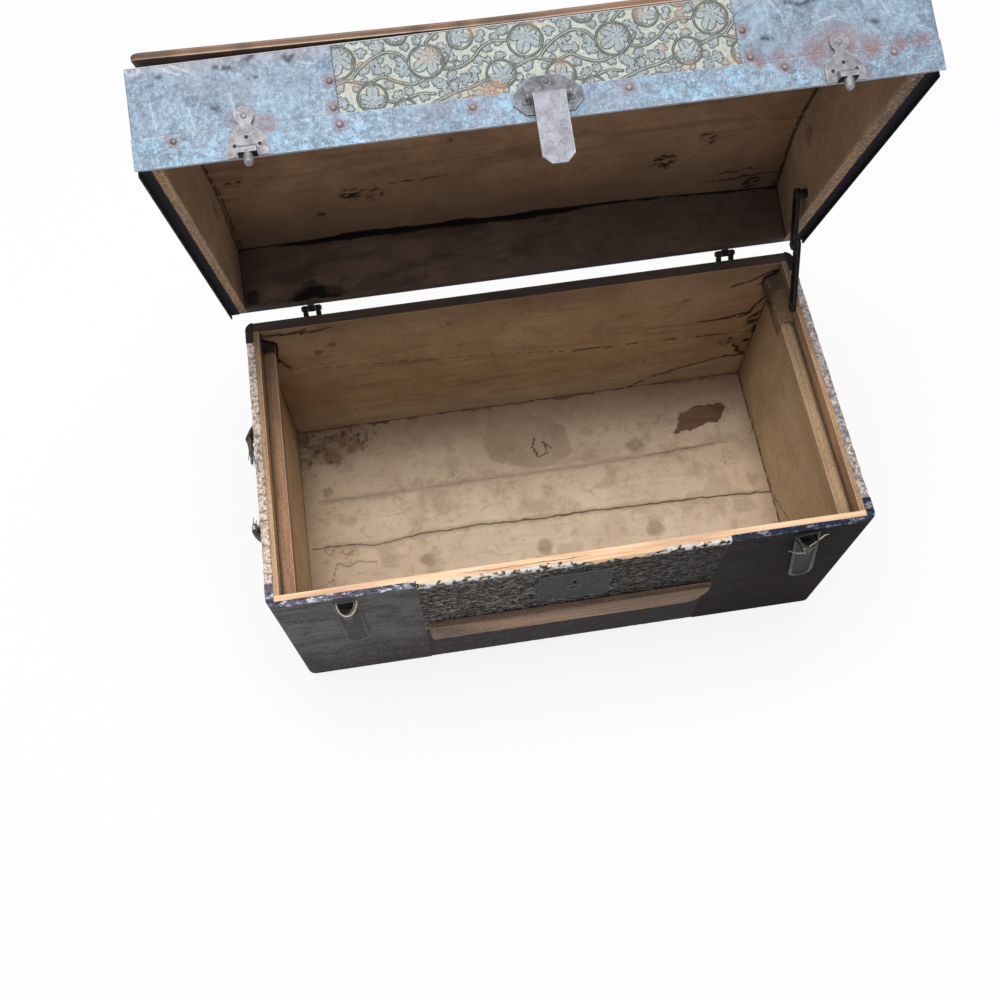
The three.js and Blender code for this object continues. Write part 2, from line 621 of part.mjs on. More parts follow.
// Hasp bracket riveted over the band, its pin and the hanging tongue
function buildHasp() {
  const pinZ = SKIRT_Z + HASP_PIN_RISE;
  const back = LID_FRONT - SEAT;
  const face = back - HASP_PLATE;
  const half = HASP_PLATE_WIDTH / 2;
  const low = pinZ - HASP_PLATE_DROP;
  const high = pinZ + HASP_PLATE_RISE;
  const wing = low + HASP_PLATE_DROP + HASP_CHAMFER / 2;
  const outline = [
    [half - HASP_CHAMFER, low], [half, low + HASP_CHAMFER], [half, wing],
    [HASP_TOP_WIDTH / 2, high], [-HASP_TOP_WIDTH / 2, high],
    [-half, wing], [-half, low + HASP_CHAMFER], [HASP_CHAMFER - half, low],
  ].map(([x, z]) => [x + HASP_X, z]);
  const lugIn = TONGUE_WIDTH / 2 + TONGUE_SIDE_GAP;
  const axisY = face - HASP_LUG_DEPTH / 2;
  const lugs = [-1, 1].map((sign) => {
    const [from, to] = [sign * lugIn, sign * (lugIn + HASP_LUG)].sort((a, b) => a - b);
    const nose = HASP_LUG_HEIGHT / 2;
    const profile = [
      [face + HASP_PLATE / 2, pinZ - nose], [face + HASP_PLATE / 2, pinZ + nose],
      ...arc(nose / 2, axisY, pinZ, Math.PI / 2, (3 * Math.PI) / 2, 6),
    ].reverse();
    return prismX(profile, HASP_X + from, HASP_X + to);
  });
  const rivets = [[half - HASP_CHAMFER, -2 * RIVET_HEIGHT], [HASP_CHAMFER - half, -2 * RIVET_HEIGHT]];
  const heads = rivets.map(([x, z]) => rivetHead(HASP_X + x, face, pinZ + z));
  heads.push(rivetHead(HASP_X, face, high - 2 * RIVET_RADIUS));
  const bracket = join(prismY(outline, face, back), ...lugs, ...heads);
  const holeRadius = HASP_PIN_RADIUS + HASP_PIN_CLEARANCE;
  const reach = lugIn + HASP_LUG + HASP_PIN_OUT;
  const bored = cut(bracket, rodX(holeRadius, HASP_X - reach, HASP_X + reach, axisY, pinZ));
  addTo(lid, 'hasp_bracket', bored, 'iron');
  const pinEnd = lugIn + HASP_LUG + SEAT;
  const pinHead = 2 * HASP_PIN_RADIUS;
  const pin = join(
    rodX(HASP_PIN_RADIUS, HASP_X - pinEnd, HASP_X + pinEnd, axisY, pinZ),
    rodX(pinHead * 0.75, HASP_X + pinEnd, HASP_X + pinEnd + RIVET_HEIGHT / 2, axisY, pinZ),
    rodX(pinHead * 0.75, HASP_X - pinEnd - RIVET_HEIGHT / 2, HASP_X - pinEnd, axisY, pinZ),
  );
  addTo(lid, 'hasp_pin', pin, 'iron');
  buildTongue(pinZ, axisY);
}

function buildTongue(pinZ, axisY) {
  const half = TONGUE_WIDTH / 2;
  const foot = pinZ - TONGUE_LENGTH;
  const front = axisY - TONGUE_BARREL_RADIUS;
  const plateBack = front + TONGUE_PLATE;
  const outline = [
    [half - TONGUE_CHAMFER, foot], [half, foot + TONGUE_CHAMFER], [half, pinZ],
    [-half, pinZ], [-half, foot + TONGUE_CHAMFER], [TONGUE_CHAMFER - half, foot],
  ].map(([x, z]) => [x + HASP_X, z]);
  const flangeTop = pinZ - HASP_LUG_HEIGHT / 2;
  const flangeFoot = foot + TONGUE_CHAMFER;
  const flanges = [-half, half - TONGUE_PLATE].map((x) => block(
    HASP_X + x, HASP_X + x + TONGUE_PLATE, front, front + TONGUE_FLANGE, flangeFoot, flangeTop));
  const barrel = rodX(TONGUE_BARREL_RADIUS, HASP_X - half, HASP_X + half, axisY, pinZ);
  const stapleZ = pinZ - STAPLE_DROP;
  const stapleTip = plateBack + STAPLE_REACH;
  const staple = cut(
    block(HASP_X - STAPLE_WIDTH / 2, HASP_X + STAPLE_WIDTH / 2, plateBack - TONGUE_PLATE / 2,
      stapleTip, stapleZ - STAPLE_HEIGHT / 2, stapleZ + STAPLE_HEIGHT / 2),
    block(HASP_X - STAPLE_WIDTH / 2 + STAPLE_BAR, HASP_X + STAPLE_WIDTH / 2 - STAPLE_BAR, plateBack,
      stapleTip - STAPLE_BAR, stapleZ - STAPLE_HEIGHT, stapleZ + STAPLE_HEIGHT),
  );
  const body = join(prismY(outline, front, plateBack), ...flanges, barrel, staple);
  const bore = rodX(HASP_PIN_RADIUS + HASP_PIN_CLEARANCE, HASP_X - half - CUT_OVERRUN,
    HASP_X + half + CUT_OVERRUN, axisY, pinZ);
  addTo(lid, 'hasp_tongue', cut(body, bore), 'iron');
}

// Pear-shaped plate with a round head, three nail holes, a bent lug and the dowel below it
function buildDowelPlate(name, x) {
  const back = LID_FRONT - SEAT;
  const face = back - DOWEL_PLATE;
  const foot = SKIRT_Z;
  const half = DOWEL_FOOT_WIDTH / 2;
  const neck = DOWEL_NECK / 2;
  const headZ = foot + DOWEL_HEAD_RISE;
  const from = -Math.asin(neck / DOWEL_HEAD_RADIUS);
  const head = arc(DOWEL_HEAD_RADIUS, 0, headZ, -Math.PI / 2 - from, Math.PI * 1.5 + from, 12);
  const flare = (sign) => Array.from({ length: 6 }, (_, i) => {
    const along = i / 5;
    const width = neck + (half - neck) * Math.sin((along * Math.PI) / 2);
    return [sign * width, foot + DOWEL_NECK_RISE + (DOWEL_SHOULDER_RISE - DOWEL_NECK_RISE) * along];
  });
  const outline = [[-half, foot], [half, foot], ...flare(1).reverse(), ...head, ...flare(-1)];
  const holes = [[0, DOWEL_TOP_HOLE_RISE], [-DOWEL_HOLES_X, DOWEL_HOLES_RISE],
    [DOWEL_HOLES_X, DOWEL_HOLES_RISE]];
  const plate = prismY(outline.map(([a, b]) => [a + x, b]), face, back,
    holes.map(([a, b]) => circle(DOWEL_HOLE_RADIUS, x + a, foot + b, 12)));
  const lugFront = face - DOWEL_LUG_DEPTH;
  const lugTop = foot + DOWEL_LUG_HEIGHT;
  const lug = prismX([
    [face + DOWEL_PLATE / 2, foot], [face + DOWEL_PLATE / 2, lugTop],
    [lugFront + DOWEL_LUG_BEVEL, lugTop], [lugFront, lugTop - DOWEL_LUG_BEVEL], [lugFront, foot],
  ], x - DOWEL_LUG_WIDTH / 2, x + DOWEL_LUG_WIDTH / 2);
  const axisY = face - DOWEL_LUG_DEPTH / 2 + DOWEL_PLATE / 4;
  const tip = arc(DOWEL_RADIUS, 0, DOWEL_RADIUS - DOWEL_DROP, -Math.PI / 2, 0, 5);
  tip[0][0] = 0;
  const profile = [...tip, [DOWEL_RADIUS, DOWEL_LUG_HEIGHT / 2], [0, DOWEL_LUG_HEIGHT / 2]];
  const dowel = new THREE.LatheGeometry(profile.map(([a, b]) => new THREE.Vector2(a, b)), 16);
  dowel.rotateX(Math.PI / 2);
  dowel.translate(x, axisY, foot);
  addTo(lid, name, join(plate, lug, dowel, rivetHead(x, face, headZ)), 'iron');
}

// Tongue plate with a tapering cup that takes the lid's dowel
function buildDowelSocket(name, x, lean) {
  const back = -CASE_FACE - SEAT;
  const foot = SOCKET_TOP - SOCKET_HEIGHT;
  const half = SOCKET_WIDTH / 2;
  const outline = [
    [half, SOCKET_TOP], [-half, SOCKET_TOP],
    ...arc(half, 0, foot + half, Math.PI, 2 * Math.PI, 10),
  ].map(([a, b]) => [a + x, b]);
  const plate = prismY(outline, back - SOCKET_PLATE, back);
  const horn = (radius, footRadius, height, reachShare) => {
    const profile = [[0, -height], [footRadius, -height], [radius, 0], [0, 0]];
    const cone = new THREE.LatheGeometry(profile.map(([a, b]) => new THREE.Vector2(a, b)), ROUND_STEPS);
    cone.rotateX(Math.PI / 2);
    cone.scale(1, reachShare, 1);
    return cone.translate(x, back, SOCKET_TOP);
  };
  const stretch = CUP_REACH / CUP_RADIUS;
  const outer = horn(CUP_RADIUS, CUP_FOOT_RADIUS, CUP_HEIGHT, stretch);
  const inner = horn(CUP_RADIUS - CUP_WALL, CUP_RADIUS - 2 * CUP_WALL, CUP_DEPTH, stretch);
  const behind = block(x - SOCKET_WIDTH, x + SOCKET_WIDTH, back, 0, 0, CASE_HEIGHT + CASE_DEPTH);
  const wallBehind = block(x - SOCKET_WIDTH, x + SOCKET_WIDTH, back - SOCKET_PLATE, 0, 0,
    CASE_HEIGHT + CASE_DEPTH);
  const cavity = cut(inner, wallBehind);
  const socket = cut(join(plate, cut(outer, behind)), cavity);
  socket.translate(-x, 0, -SOCKET_TOP);
  socket.rotateY(-lean);
  socket.translate(x, 0, SOCKET_TOP);
  addTo(trunk, name, socket, 'iron');
}

function buildDowels() {
  buildDowelPlate('dowel_plate_left', -DOWEL_LEFT_X);
  buildDowelSocket('dowel_socket_left', -DOWEL_LEFT_X, 0);
  buildDowelPlate('dowel_plate_right', DOWEL_RIGHT_X);
  buildDowelSocket('dowel_socket_right', DOWEL_RIGHT_X, SOCKET_LEAN);
}

// Flat link with round ends between two pivots, given in the plane of Y and Z
function stayLink(from, to, fromX, toX) {
  const lean = Math.atan2(to[1] - from[1], to[0] - from[0]);
  const radius = STAY_WIDTH / 2;
  const outline = [
    ...arc(radius, to[0], to[1], lean - Math.PI / 2, lean + Math.PI / 2, 8),
    ...arc(radius, from[0], from[1], lean + Math.PI / 2, lean + (3 * Math.PI) / 2, 8),
  ];
  return prismX(outline, fromX, toX);
}

function buildStay() {
  const wall = END_INNER - SEAT;
  const nearFrom = wall - STAY_BAR;
  const farTo = nearFrom - STAY_GAP;
  const farFrom = farTo - STAY_BAR;
  const casePivot = [CASE_DEPTH / 2 - STAY_CASE_BACK, CASE_HEIGHT - STAY_CASE_DROP];
  const shut = [CASE_DEPTH / 2 - STAY_LID_BACK - PIVOT_Y, RIM_Z + STAY_LID_RISE - PIVOT_Z];
  const lidPivot = [
    PIVOT_Y + shut[0] * Math.cos(LID_OPEN) + shut[1] * Math.sin(LID_OPEN),
    PIVOT_Z - shut[0] * Math.sin(LID_OPEN) + shut[1] * Math.cos(LID_OPEN),
  ];
  const knee = [0, 1].map((i) => lidPivot[i] + (casePivot[i] - lidPivot[i]) * STAY_UPPER_SHARE);
  const lower = stayLink(casePivot, knee, nearFrom, wall);
  const lowerHead = rodX(
    STAY_RIVET_RADIUS, nearFrom - STAY_RIVET_HEAD, nearFrom + STAY_BAR / 2, ...casePivot, 12);
  addTo(trunk, 'stay_lower_link', join(lower, lowerHead), 'blackIron');
  const upper = stayLink(lidPivot, knee, farFrom, farTo);
  const bossTo = LID_INNER_RIGHT - SEAT;
  const upperHeads = [
    rodX(STAY_BOSS_RADIUS, farTo - STAY_BAR / 2, bossTo, ...lidPivot, 12),
    rodX(STAY_RIVET_RADIUS, farFrom - STAY_RIVET_HEAD, farFrom + STAY_BAR / 2, ...lidPivot, 12),
    rodX(STAY_RIVET_RADIUS, farFrom - STAY_RIVET_HEAD, farFrom + STAY_BAR / 2, ...knee, 12),
  ];
  addTo(trunk, 'stay_upper_link', join(upper, ...upperHeads), 'blackIron');
}

// Plan of the leather strap on an end, bowed out between its two caps
function strapPoint(y, outset) {
  const half = HANDLE_SPAN / 2 - CAP_HOOD + STRAP_TAIL;
  const along = Math.max(-1, Math.min(1, y / half));
  return STRAP_BOW * Math.cos((along * Math.PI) / 2) ** 2 + outset;
}

function strap(sign, fromY, toY) {
  const wall = CASE_LENGTH / 2 + SEAT;
  const steps = 24;
  const line = (outset) => Array.from({ length: steps + 1 }, (_, i) => {
    const y = fromY + ((toY - fromY) * i) / steps;
    return [sign * (wall + strapPoint(y, outset)), y];
  });
  const outline = [...line(0), ...line(STRAP_THICKNESS).reverse()];
  const ordered = sign > 0 ? outline.reverse() : outline;
  return prismZ(ordered, HANDLE_Z - STRAP_WIDTH / 2, HANDLE_Z + STRAP_WIDTH / 2);
}

// Pressed cap: a flange on the end sheet and a hood over the end of the strap
function buildCap(name, sign, y, toward) {
  const wall = CASE_LENGTH / 2 + SEAT;
  const hood = wall + STRAP_THICKNESS + SEAT;
  const tail = y - toward * (STRAP_TAIL + SEAT);
  const line = [
    [wall, tail - toward * (CAP_FLANGE + STRAP_THICKNESS)],
    [wall, tail - toward * STRAP_THICKNESS], [hood, tail],
    [hood, tail + toward * CAP_HOOD],
    [hood + CAP_SHEET, tail + toward * CAP_HOOD],
    [hood + CAP_SHEET, tail - toward * CAP_SHEET / 2],
    [wall + CAP_SHEET, tail - toward * (STRAP_THICKNESS + CAP_SHEET / 2)],
    [wall + CAP_SHEET, tail - toward * (CAP_FLANGE + STRAP_THICKNESS)],
  ].map(([x, b]) => [sign * x, b]);
  const cap = prismZ(line, HANDLE_Z - CAP_WIDTH / 2, HANDLE_Z + CAP_WIDTH / 2);
  addTo(trunk, name, cap, 'iron');
}

// Torn end of the left strap, standing out from its cap
function stub(capY, toward, reach) {
  const wall = CASE_LENGTH / 2 + SEAT;
  const steps = 12;
  const mouth = CAP_HOOD - STRAP_TAIL + STRAP_THICKNESS;
  const line = (outset) => Array.from({ length: steps + 1 }, (_, i) => {
    const along = (i / steps) * (reach + STRAP_TAIL) - STRAP_TAIL;
    const share = Math.max(0, along - mouth) / (reach - mouth);
    return [-wall - outset - STUB_SPLAY * share * (2 - share), capY + toward * along];
  });
  const outline = [...line(0), ...line(STRAP_THICKNESS).reverse()];
  const ordered = toward < 0 ? outline.reverse() : outline;
  return prismZ(ordered, HANDLE_Z - STRAP_WIDTH / 2, HANDLE_Z + STRAP_WIDTH / 2);
}

function buildHandles() {
  const half = HANDLE_SPAN / 2;
  const tail = half + STRAP_TAIL;
  for (const [side, sign] of [['left', -1], ['right', 1]]) {
    buildCap(`handle_cap_${side}_rear`, sign, half, -1);
    buildCap(`handle_cap_${side}_front`, sign, -half, 1);
  }
  addTo(trunk, 'handle_right', strap(1, -tail, tail), 'leather');
  const rear = stub(half, -1, STUB_REAR_SHARE * HANDLE_SPAN);
  addTo(trunk, 'handle_stub_rear', rear, 'leather');
  const front = stub(-half, 1, STUB_FRONT_SHARE * HANDLE_SPAN);
  addTo(trunk, 'handle_stub_front', front, 'leather');
}

buildCaseBoards();
buildCaseSheets();
buildFrontSlat();
buildLockPlate();
buildLidBoards();
buildLidSheets();
buildRimBand();
buildDomeSlats();
buildHinges();
buildHasp();
buildDowels();
buildStay();
buildHandles();

export default trunk;
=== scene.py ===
import math

import bmesh
import bpy
import numpy as np
from mathutils import Matrix, Vector
from mathutils.bvhtree import BVHTree


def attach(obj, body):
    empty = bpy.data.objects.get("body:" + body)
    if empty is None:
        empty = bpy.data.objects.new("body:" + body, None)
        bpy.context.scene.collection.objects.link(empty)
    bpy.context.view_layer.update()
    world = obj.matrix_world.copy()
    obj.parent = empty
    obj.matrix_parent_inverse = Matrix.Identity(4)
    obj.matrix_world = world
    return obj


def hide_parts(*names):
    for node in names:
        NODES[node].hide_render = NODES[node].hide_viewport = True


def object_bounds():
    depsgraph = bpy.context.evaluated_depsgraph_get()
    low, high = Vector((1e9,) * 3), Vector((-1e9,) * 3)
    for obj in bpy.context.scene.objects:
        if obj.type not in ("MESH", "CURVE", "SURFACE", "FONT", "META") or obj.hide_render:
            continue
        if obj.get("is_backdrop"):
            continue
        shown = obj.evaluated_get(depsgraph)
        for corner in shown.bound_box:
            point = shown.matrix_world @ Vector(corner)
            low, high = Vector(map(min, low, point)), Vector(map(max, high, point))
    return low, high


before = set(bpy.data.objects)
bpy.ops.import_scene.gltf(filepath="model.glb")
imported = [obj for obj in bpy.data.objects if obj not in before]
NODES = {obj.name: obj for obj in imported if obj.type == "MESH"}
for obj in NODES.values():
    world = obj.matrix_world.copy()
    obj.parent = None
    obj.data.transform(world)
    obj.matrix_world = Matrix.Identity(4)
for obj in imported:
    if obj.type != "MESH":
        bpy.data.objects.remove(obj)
MM = 0.001


def plain(pair):
    return [list(map(float, corner)) for corner in pair]


size_before = plain(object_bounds())

# Places that the pieces share, in millimetres, with the lid shut
PIVOT = np.array([0.0, 232.0, 319.0])
OPEN = math.radians(74)
SKIRT_Z, RIM_Z, BAND_TOP = 313.8, 320.8, 347.3
CASE_TOP = 318.0
LID_LEFT, LID_RIGHT = -399.1, 393.1
LID_BACK, LID_FRONT = 204.9, -212.1
LID_TIN_Y, ZINC_Y, LUG_Y = -227.7, -228.1, -234.6
CASE_TIN_FRONT, CASE_TIN_END = 220.1, 405.6
SOCKETS = (("left", -307), ("right", 315))
GAP = 0.05
COS, SIN = math.cos(OPEN), math.sin(OPEN)
SHUT_TO_OPEN = np.array([[1, 0, 0], [0, COS, SIN], [0, -SIN, COS]])
SIDES = (("left", -1), ("right", 1))


def opened(points, back=False):
    """Points of the shut lid, turned to where the open lid holds them, or back again."""
    turned = SHUT_TO_OPEN if back else SHUT_TO_OPEN.T
    return (np.asarray(points, float) - PIVOT) @ turned + PIVOT


# Camera at the photo's angle: pixels of the photo, millimetres of the sensor
PHOTO, SENSOR = 1000, 36
FOCAL, CENTRE_X, CENTRE_Y = 1029.725, 488.526, 553.016
TURN = Vector((2.749574, -0.210470, 0.024182))
SHIFT = Vector((0.0848175, -0.0689989, 1.7255284))
turn = Matrix.Rotation(TURN.length, 3, TURN.normalized())
camera = bpy.data.objects.new("camera", bpy.data.cameras.new("camera"))
bpy.context.scene.collection.objects.link(camera)
bpy.context.scene.camera = camera
camera.data.sensor_width = SENSOR
camera.data.lens = SENSOR * FOCAL / PHOTO
camera.data.shift_x = (PHOTO / 2 - CENTRE_X) / PHOTO
camera.data.shift_y = (CENTRE_Y - PHOTO / 2) / PHOTO
camera.data.clip_start = 0.05
place = turn.transposed() @ Matrix(((1, 0, 0), (0, -1, 0), (0, 0, -1)))
camera.matrix_world = Matrix.Translation(-(turn.transposed() @ SHIFT)) @ place.to_4x4()


# Colours are written as sRGB text, from #000000 to #ffffff
def rgb(text):
    parts = [int(text[k:k + 2], 16) / 255 for k in (1, 3, 5)]
    return (*(c / 12.92 if c <= 0.04045 else ((c + 0.055) / 1.055) ** 2.4 for c in parts), 1.0)


def feed(tree, node, inputs):
    """Give a node its inputs: sockets are linked, colours are read and plain values are set."""
    for key, value in inputs.items():
        if isinstance(value, bpy.types.NodeSocket):
            tree.links.new(value, node.inputs[key])
        else:
            node.inputs[key].default_value = rgb(value) if isinstance(value, str) else value


def add(tree, kind, inputs=(), **settings):
    node = tree.nodes.new("ShaderNode" + kind)
    for key, value in settings.items():
        setattr(node, key, value)
    feed(tree, node, dict(inputs))
    return node


class Graph:
    """One material's nodes, its colour laid coat over coat. Coordinates are metres in the object."""

    def __init__(self, name, colour, shut=False):
        self.material = bpy.data.materials.new(name)
        self.material.use_nodes = True
        self.tree = self.material.node_tree
        self.colour = colour
        self.at = self.get("TexCoord", key="Object")
        if shut:
            pivot = PIVOT * MM
            self.at = self.get("Mapping", {"Vector": self.at, "Location": pivot - SHUT_TO_OPEN.T @ pivot,
                                           "Rotation": (OPEN, 0, 0)})

    def get(self, kind, inputs=(), key=0, **settings):
        """One output of a new node."""
        return add(self.tree, kind, inputs, **settings).outputs[key]

    def noise(self, size, detail, rough, stretch=(1, 1, 1), offset=0.0, warp=0.0):
        """Noise from 0 to 1 whose features are size millimetres, longer along an axis by its stretch."""
        place = self.get("Mapping", {"Vector": self.at, "Scale": [1 / (size * MM * s) for s in stretch],
                                     "Location": (offset, offset * 1.7, offset * 2.3)})
        return self.get("TexNoise", {"Vector": place, "Scale": 1.0, "Detail": detail,
                                     "Roughness": rough, "Distortion": warp})

    def span(self, value, low, high, to_low=0.0, to_high=1.0):
        return self.get("MapRange", {"Value": value, "From Min": low, "From Max": high,
                                     "To Min": to_low, "To Max": to_high})

    def calc(self, operation, *values):
        return self.get("Math", dict(enumerate(values)), operation=operation)

    def times(self, a, b):
        return self.calc("MULTIPLY", a, b)

    def plus(self, a, b):
        return self.calc("ADD", a, b)

    def mix(self, share, a, b):
        return self.get("MixRGB", {"Fac": share, "Color1": a, "Color2": b})

    def cover(self, share, colour):
        """A coat over the colour so far, by its share."""
        self.colour = self.mix(share, self.colour, colour)

    def lay(self, value, low, high, most, colour):
        """A coat whose share rises to its most as a value goes from low to high."""
        self.cover(self.span(value, low, high, 0, most), colour)

    def mark(self, name):
        """A value that the mesh carries at its points."""
        return self.get("Attribute", key="Fac", attribute_name=name)

    def axis(self, index):
        return self.get("SeparateXYZ", {0: self.at}, index)

    def rub(self, radius, share, colour):
        """A coat near sharp edges, found from the rounded and the true normal."""
        normals = {0: self.get("Bevel", {"Radius": radius * MM}, samples=4),
                   1: self.get("NewGeometry", key="Normal")}
        dot = self.get("VectorMath", normals, "Value", operation="DOT_PRODUCT")
        near = self.span(self.calc("SUBTRACT", 1.0, dot), 0.02, 0.25)
        self.cover(self.times(near, share), colour)

    def finish(self, rough, metal, height, depth, gloss=0.5):
        bump = self.get("Bump", {"Height": height, "Distance": depth * MM, "Strength": 1.0})
        feed(self.tree, self.tree.nodes["Principled BSDF"],
             {"Base Color": self.colour, "Roughness": rough, "Metallic": metal, "Normal": bump,
              "Specular IOR Level": gloss})
        return self.material


def drawn(axis, share):
    """The stretch of a noise along one axis."""
    return [share if k == axis else 1.0 for k in range(3)]


# Raw, worn softwood with its grain along one axis, of a light, middle and dark tone
def wood(name, tones, along=0, shut=False, dirt=0.5, spots=0.3, rear=0.0, edges=0.0, rough=0.0,
         split=False):
    light, middle, dark = tones.split()
    g = Graph(name, middle, shut)
    grain = g.noise(5.0, 5, 0.62, drawn(along, 22.0), warp=0.6)
    fine = g.noise(1.1, 3, 0.6, drawn(along, 30.0), 4.0)
    g.lay(grain, 0.36, 0.66, 1, light)
    g.lay(fine, 0.55, 0.75, 0.5, dark)
    g.lay(g.noise(60, 3, 0.5, drawn(along, 3.0), 9.0), 0.52, 0.72, dirt, dark)
    g.lay(g.noise(3.0, 2, 0.5, offset=21.0), 0.70, 0.76, spots, "#2d221b")
    if rear:
        speckle = g.noise(2.6, 4, 0.7, offset=27.0)
        g.lay(speckle, 0.52, 0.66, 0.65, dark)
        g.lay(speckle, 0.42, 0.32, 0.5, "#e0be98")
        # Darker towards the rear by the rear share: painted shade under the open lid
        g.lay(g.axis(1), -0.02, 0.2, rear, "#382b24")
        gap = g.span(g.calc("ABSOLUTE", g.axis(0)), 0.3845, 0.3872, 0, 0.85)
        g.cover(g.times(gap, g.span(g.axis(2), 0.303, 0.291)), "#2c201a")
        g.rub(2.0, 0.75, "#eed0ac")
    if split:
        wave = g.span(g.noise(30, 4, 0.7, (2, 1, 1), 83.0), 0.3, 0.7, -0.002, 0.002)
        away = g.calc("ABSOLUTE", g.plus(g.plus(g.axis(1), 0.2118), wave))
        reach = g.times(g.span(g.axis(0), -0.16, -0.13), g.span(g.axis(0), 0.03, 0.0))
        g.cover(g.times(g.span(away, 0.0009, 0.0003, 0, 0.85), reach), "#5c3a28")
    if rough:
        speckle = g.noise(3.2, 5, 0.75, offset=27.0)
        g.lay(speckle, 0.5, 0.6, rough, dark)
        g.lay(speckle, 0.46, 0.38, rough, "#ceb492")
    if edges:
        g.rub(2.6, edges, "#f0d8b8")
    g.cover(g.mark("crack"), "#19130f")
    g.cover(g.mark("stain_and_shade"), dark)
    height = g.plus(g.times(grain, 0.6), g.times(fine, 0.4))
    return g.finish(g.span(grain, 0.3, 0.7, 0.62, 0.85), 0.0, height, 0.5)


# Thin paper and paint over boards, aged in patches
def lining(name, tones, shut=False, grain_axis=0, speckle=0.5, rear=0.0, streaky=1.0):
    light, middle, dark = tones.split()
    g = Graph(name, middle, shut)
    streak = g.noise(7.0, 4, 0.6, drawn(grain_axis, 14.0), 5.0, 0.4)
    fine = g.noise(2.2, 3, 0.65, offset=8.0)
    g.lay(g.noise(90, 4, 0.6, offset=2.0, warp=0.5), 0.35, 0.65, 1, light)
    g.lay(streak, 0.52, 0.74, 0.45 * streaky, dark)
    g.lay(streak, 0.42, 0.26, 0.35 * streaky, light)
    g.lay(fine, 0.56, 0.78, 0.35, dark)
    g.lay(g.noise(24, 5, 0.7, offset=13.0, warp=1.2), 0.52, 0.68, 0.3, dark)
    g.lay(g.noise(4.0, 2, 0.5, offset=31.0), 0.71, 0.75, speckle, "#342821")
    g.cover(g.times(g.mark("stain_and_shade"), g.span(fine, 0.25, 0.6, 0.75, 1.0)), dark)
    g.cover(g.mark("pale"), "#d6c8b0")
    if rear:
        # Darker towards the rear by the rear share: painted shadow of the open lid
        g.lay(g.axis(1), 0.02, 0.21, rear, "#604a3a")
    g.cover(g.mark("crack"), "#0f0b09")
    height = g.plus(streak, g.times(fine, 0.5))
    return g.finish(g.span(fine, 0.3, 0.7, 0.7, 0.9), 0.0, height, 0.25, 0.15)


# Galvanised sheet: soft grey-blue bloom, oxide, and rust round its fixings
def zinc(name, tones, flakes=None, rust=0.5):
    deep, middle, pale = tones.split()
    g = Graph(name, deep, True)
    cloud = g.noise(44, 8, 0.78, offset=3.0, warp=0.6)
    bloom = g.noise(5.0, 6, 0.8, offset=12.0, warp=0.3)
    speck = g.noise(2.2, 3, 0.6, offset=17.0)
    g.lay(cloud, 0.43, 0.57, 1, middle)
    g.lay(bloom, 0.46, 0.68, 0.7, pale)
    g.lay(bloom, 0.46, 0.3, 0.7, deep)
    g.lay(speck, 0.6, 0.72, 0.5, "#626872")
    g.lay(speck, 0.4, 0.3, 0.4, "#d6dce2")
    if flakes:
        flake = g.noise(13.0, 8, 0.9, (1.3, 1, 1), 45.0, 0.25)
        region = g.span(g.noise(110, 3, 0.6, offset=71.0), 0.38, 0.55, 0.3, 1.0)
        g.cover(g.times(g.span(flake, 0.49, 0.53, 0, 0.85), region), flakes)
        chip = g.noise(3.0, 5, 0.8, offset=47.0)
        g.lay(chip, 0.55, 0.6, 0.5, "#c4d0d8")
        g.lay(chip, 0.45, 0.4, 0.5, "#626e7e")
    g.lay(g.noise(70, 4, 0.65, offset=40.0), 0.5, 0.72, 0.4, "#8c8892")
    g.lay(g.noise(4.0, 4, 0.7, (1, 1, 9), 52.0), 0.54, 0.7, 0.4, "#5c6878")
    fold = g.span(g.axis(2), 407 * MM, 423 * MM, 0, 0.65)
    g.cover(g.times(fold, g.span(bloom, 0.35, 0.6, 0.3, 1.0)), "#aca0a0")
    halo = 0.0
    for x, z, radius in RUST:
        spot = (x * MM, LID_FACE * MM, (SKIRT_Z + z) * MM)
        away = g.get("VectorMath", {0: g.at, 1: spot}, "Value", operation="DISTANCE")
        halo = g.calc("MAXIMUM", halo, g.span(away, radius * MM, radius * 0.3 * MM))
    torn = g.span(g.noise(6.0, 5, 0.75, offset=61.0), 0.34, 0.56, 0.25, 0.95)
    brown = g.calc("MAXIMUM", g.span(g.noise(12, 5, 0.7, offset=50.0), 0.6, 0.72, 0, rust),
                   g.times(halo, torn))
    above = g.calc("ABSOLUTE", g.calc("SUBTRACT", g.axis(2), (BAND_TOP + 1.5) * MM))
    seam = g.times(g.span(above, 0.005, 0.0), g.span(g.axis(0), 0.05, 0.25, 0.15, 0.8))
    g.cover(g.calc("MAXIMUM", brown, g.times(seam, g.span(bloom, 0.35, 0.6, 1.0, 0.35))), "#806464")
    line = g.get("Mapping", {"Vector": g.at, "Rotation": (0.0, 0.6, 0.0),
                             "Scale": (1 / 0.0009, 1 / 0.02, 1 / 0.03)})
    g.lay(g.get("TexNoise", {"Vector": line, "Scale": 1.0, "Detail": 1.0}), 0.74, 0.78, 0.5, "#d6dee4")
    # Painted shade in the sheet's dents
    g.cover(g.mark("stain_and_shade"), "#424a56")
    g.cover(g.mark("pale"), "#dee2e6")
    g.rub(1.5, 0.6, "#cdd2d6")
    height = g.plus(g.times(cloud, 1.5), g.times(bloom, 0.5))
    return g.finish(g.span(bloom, 0.3, 0.7, 0.66, 0.48), 0.15, height, 0.45)
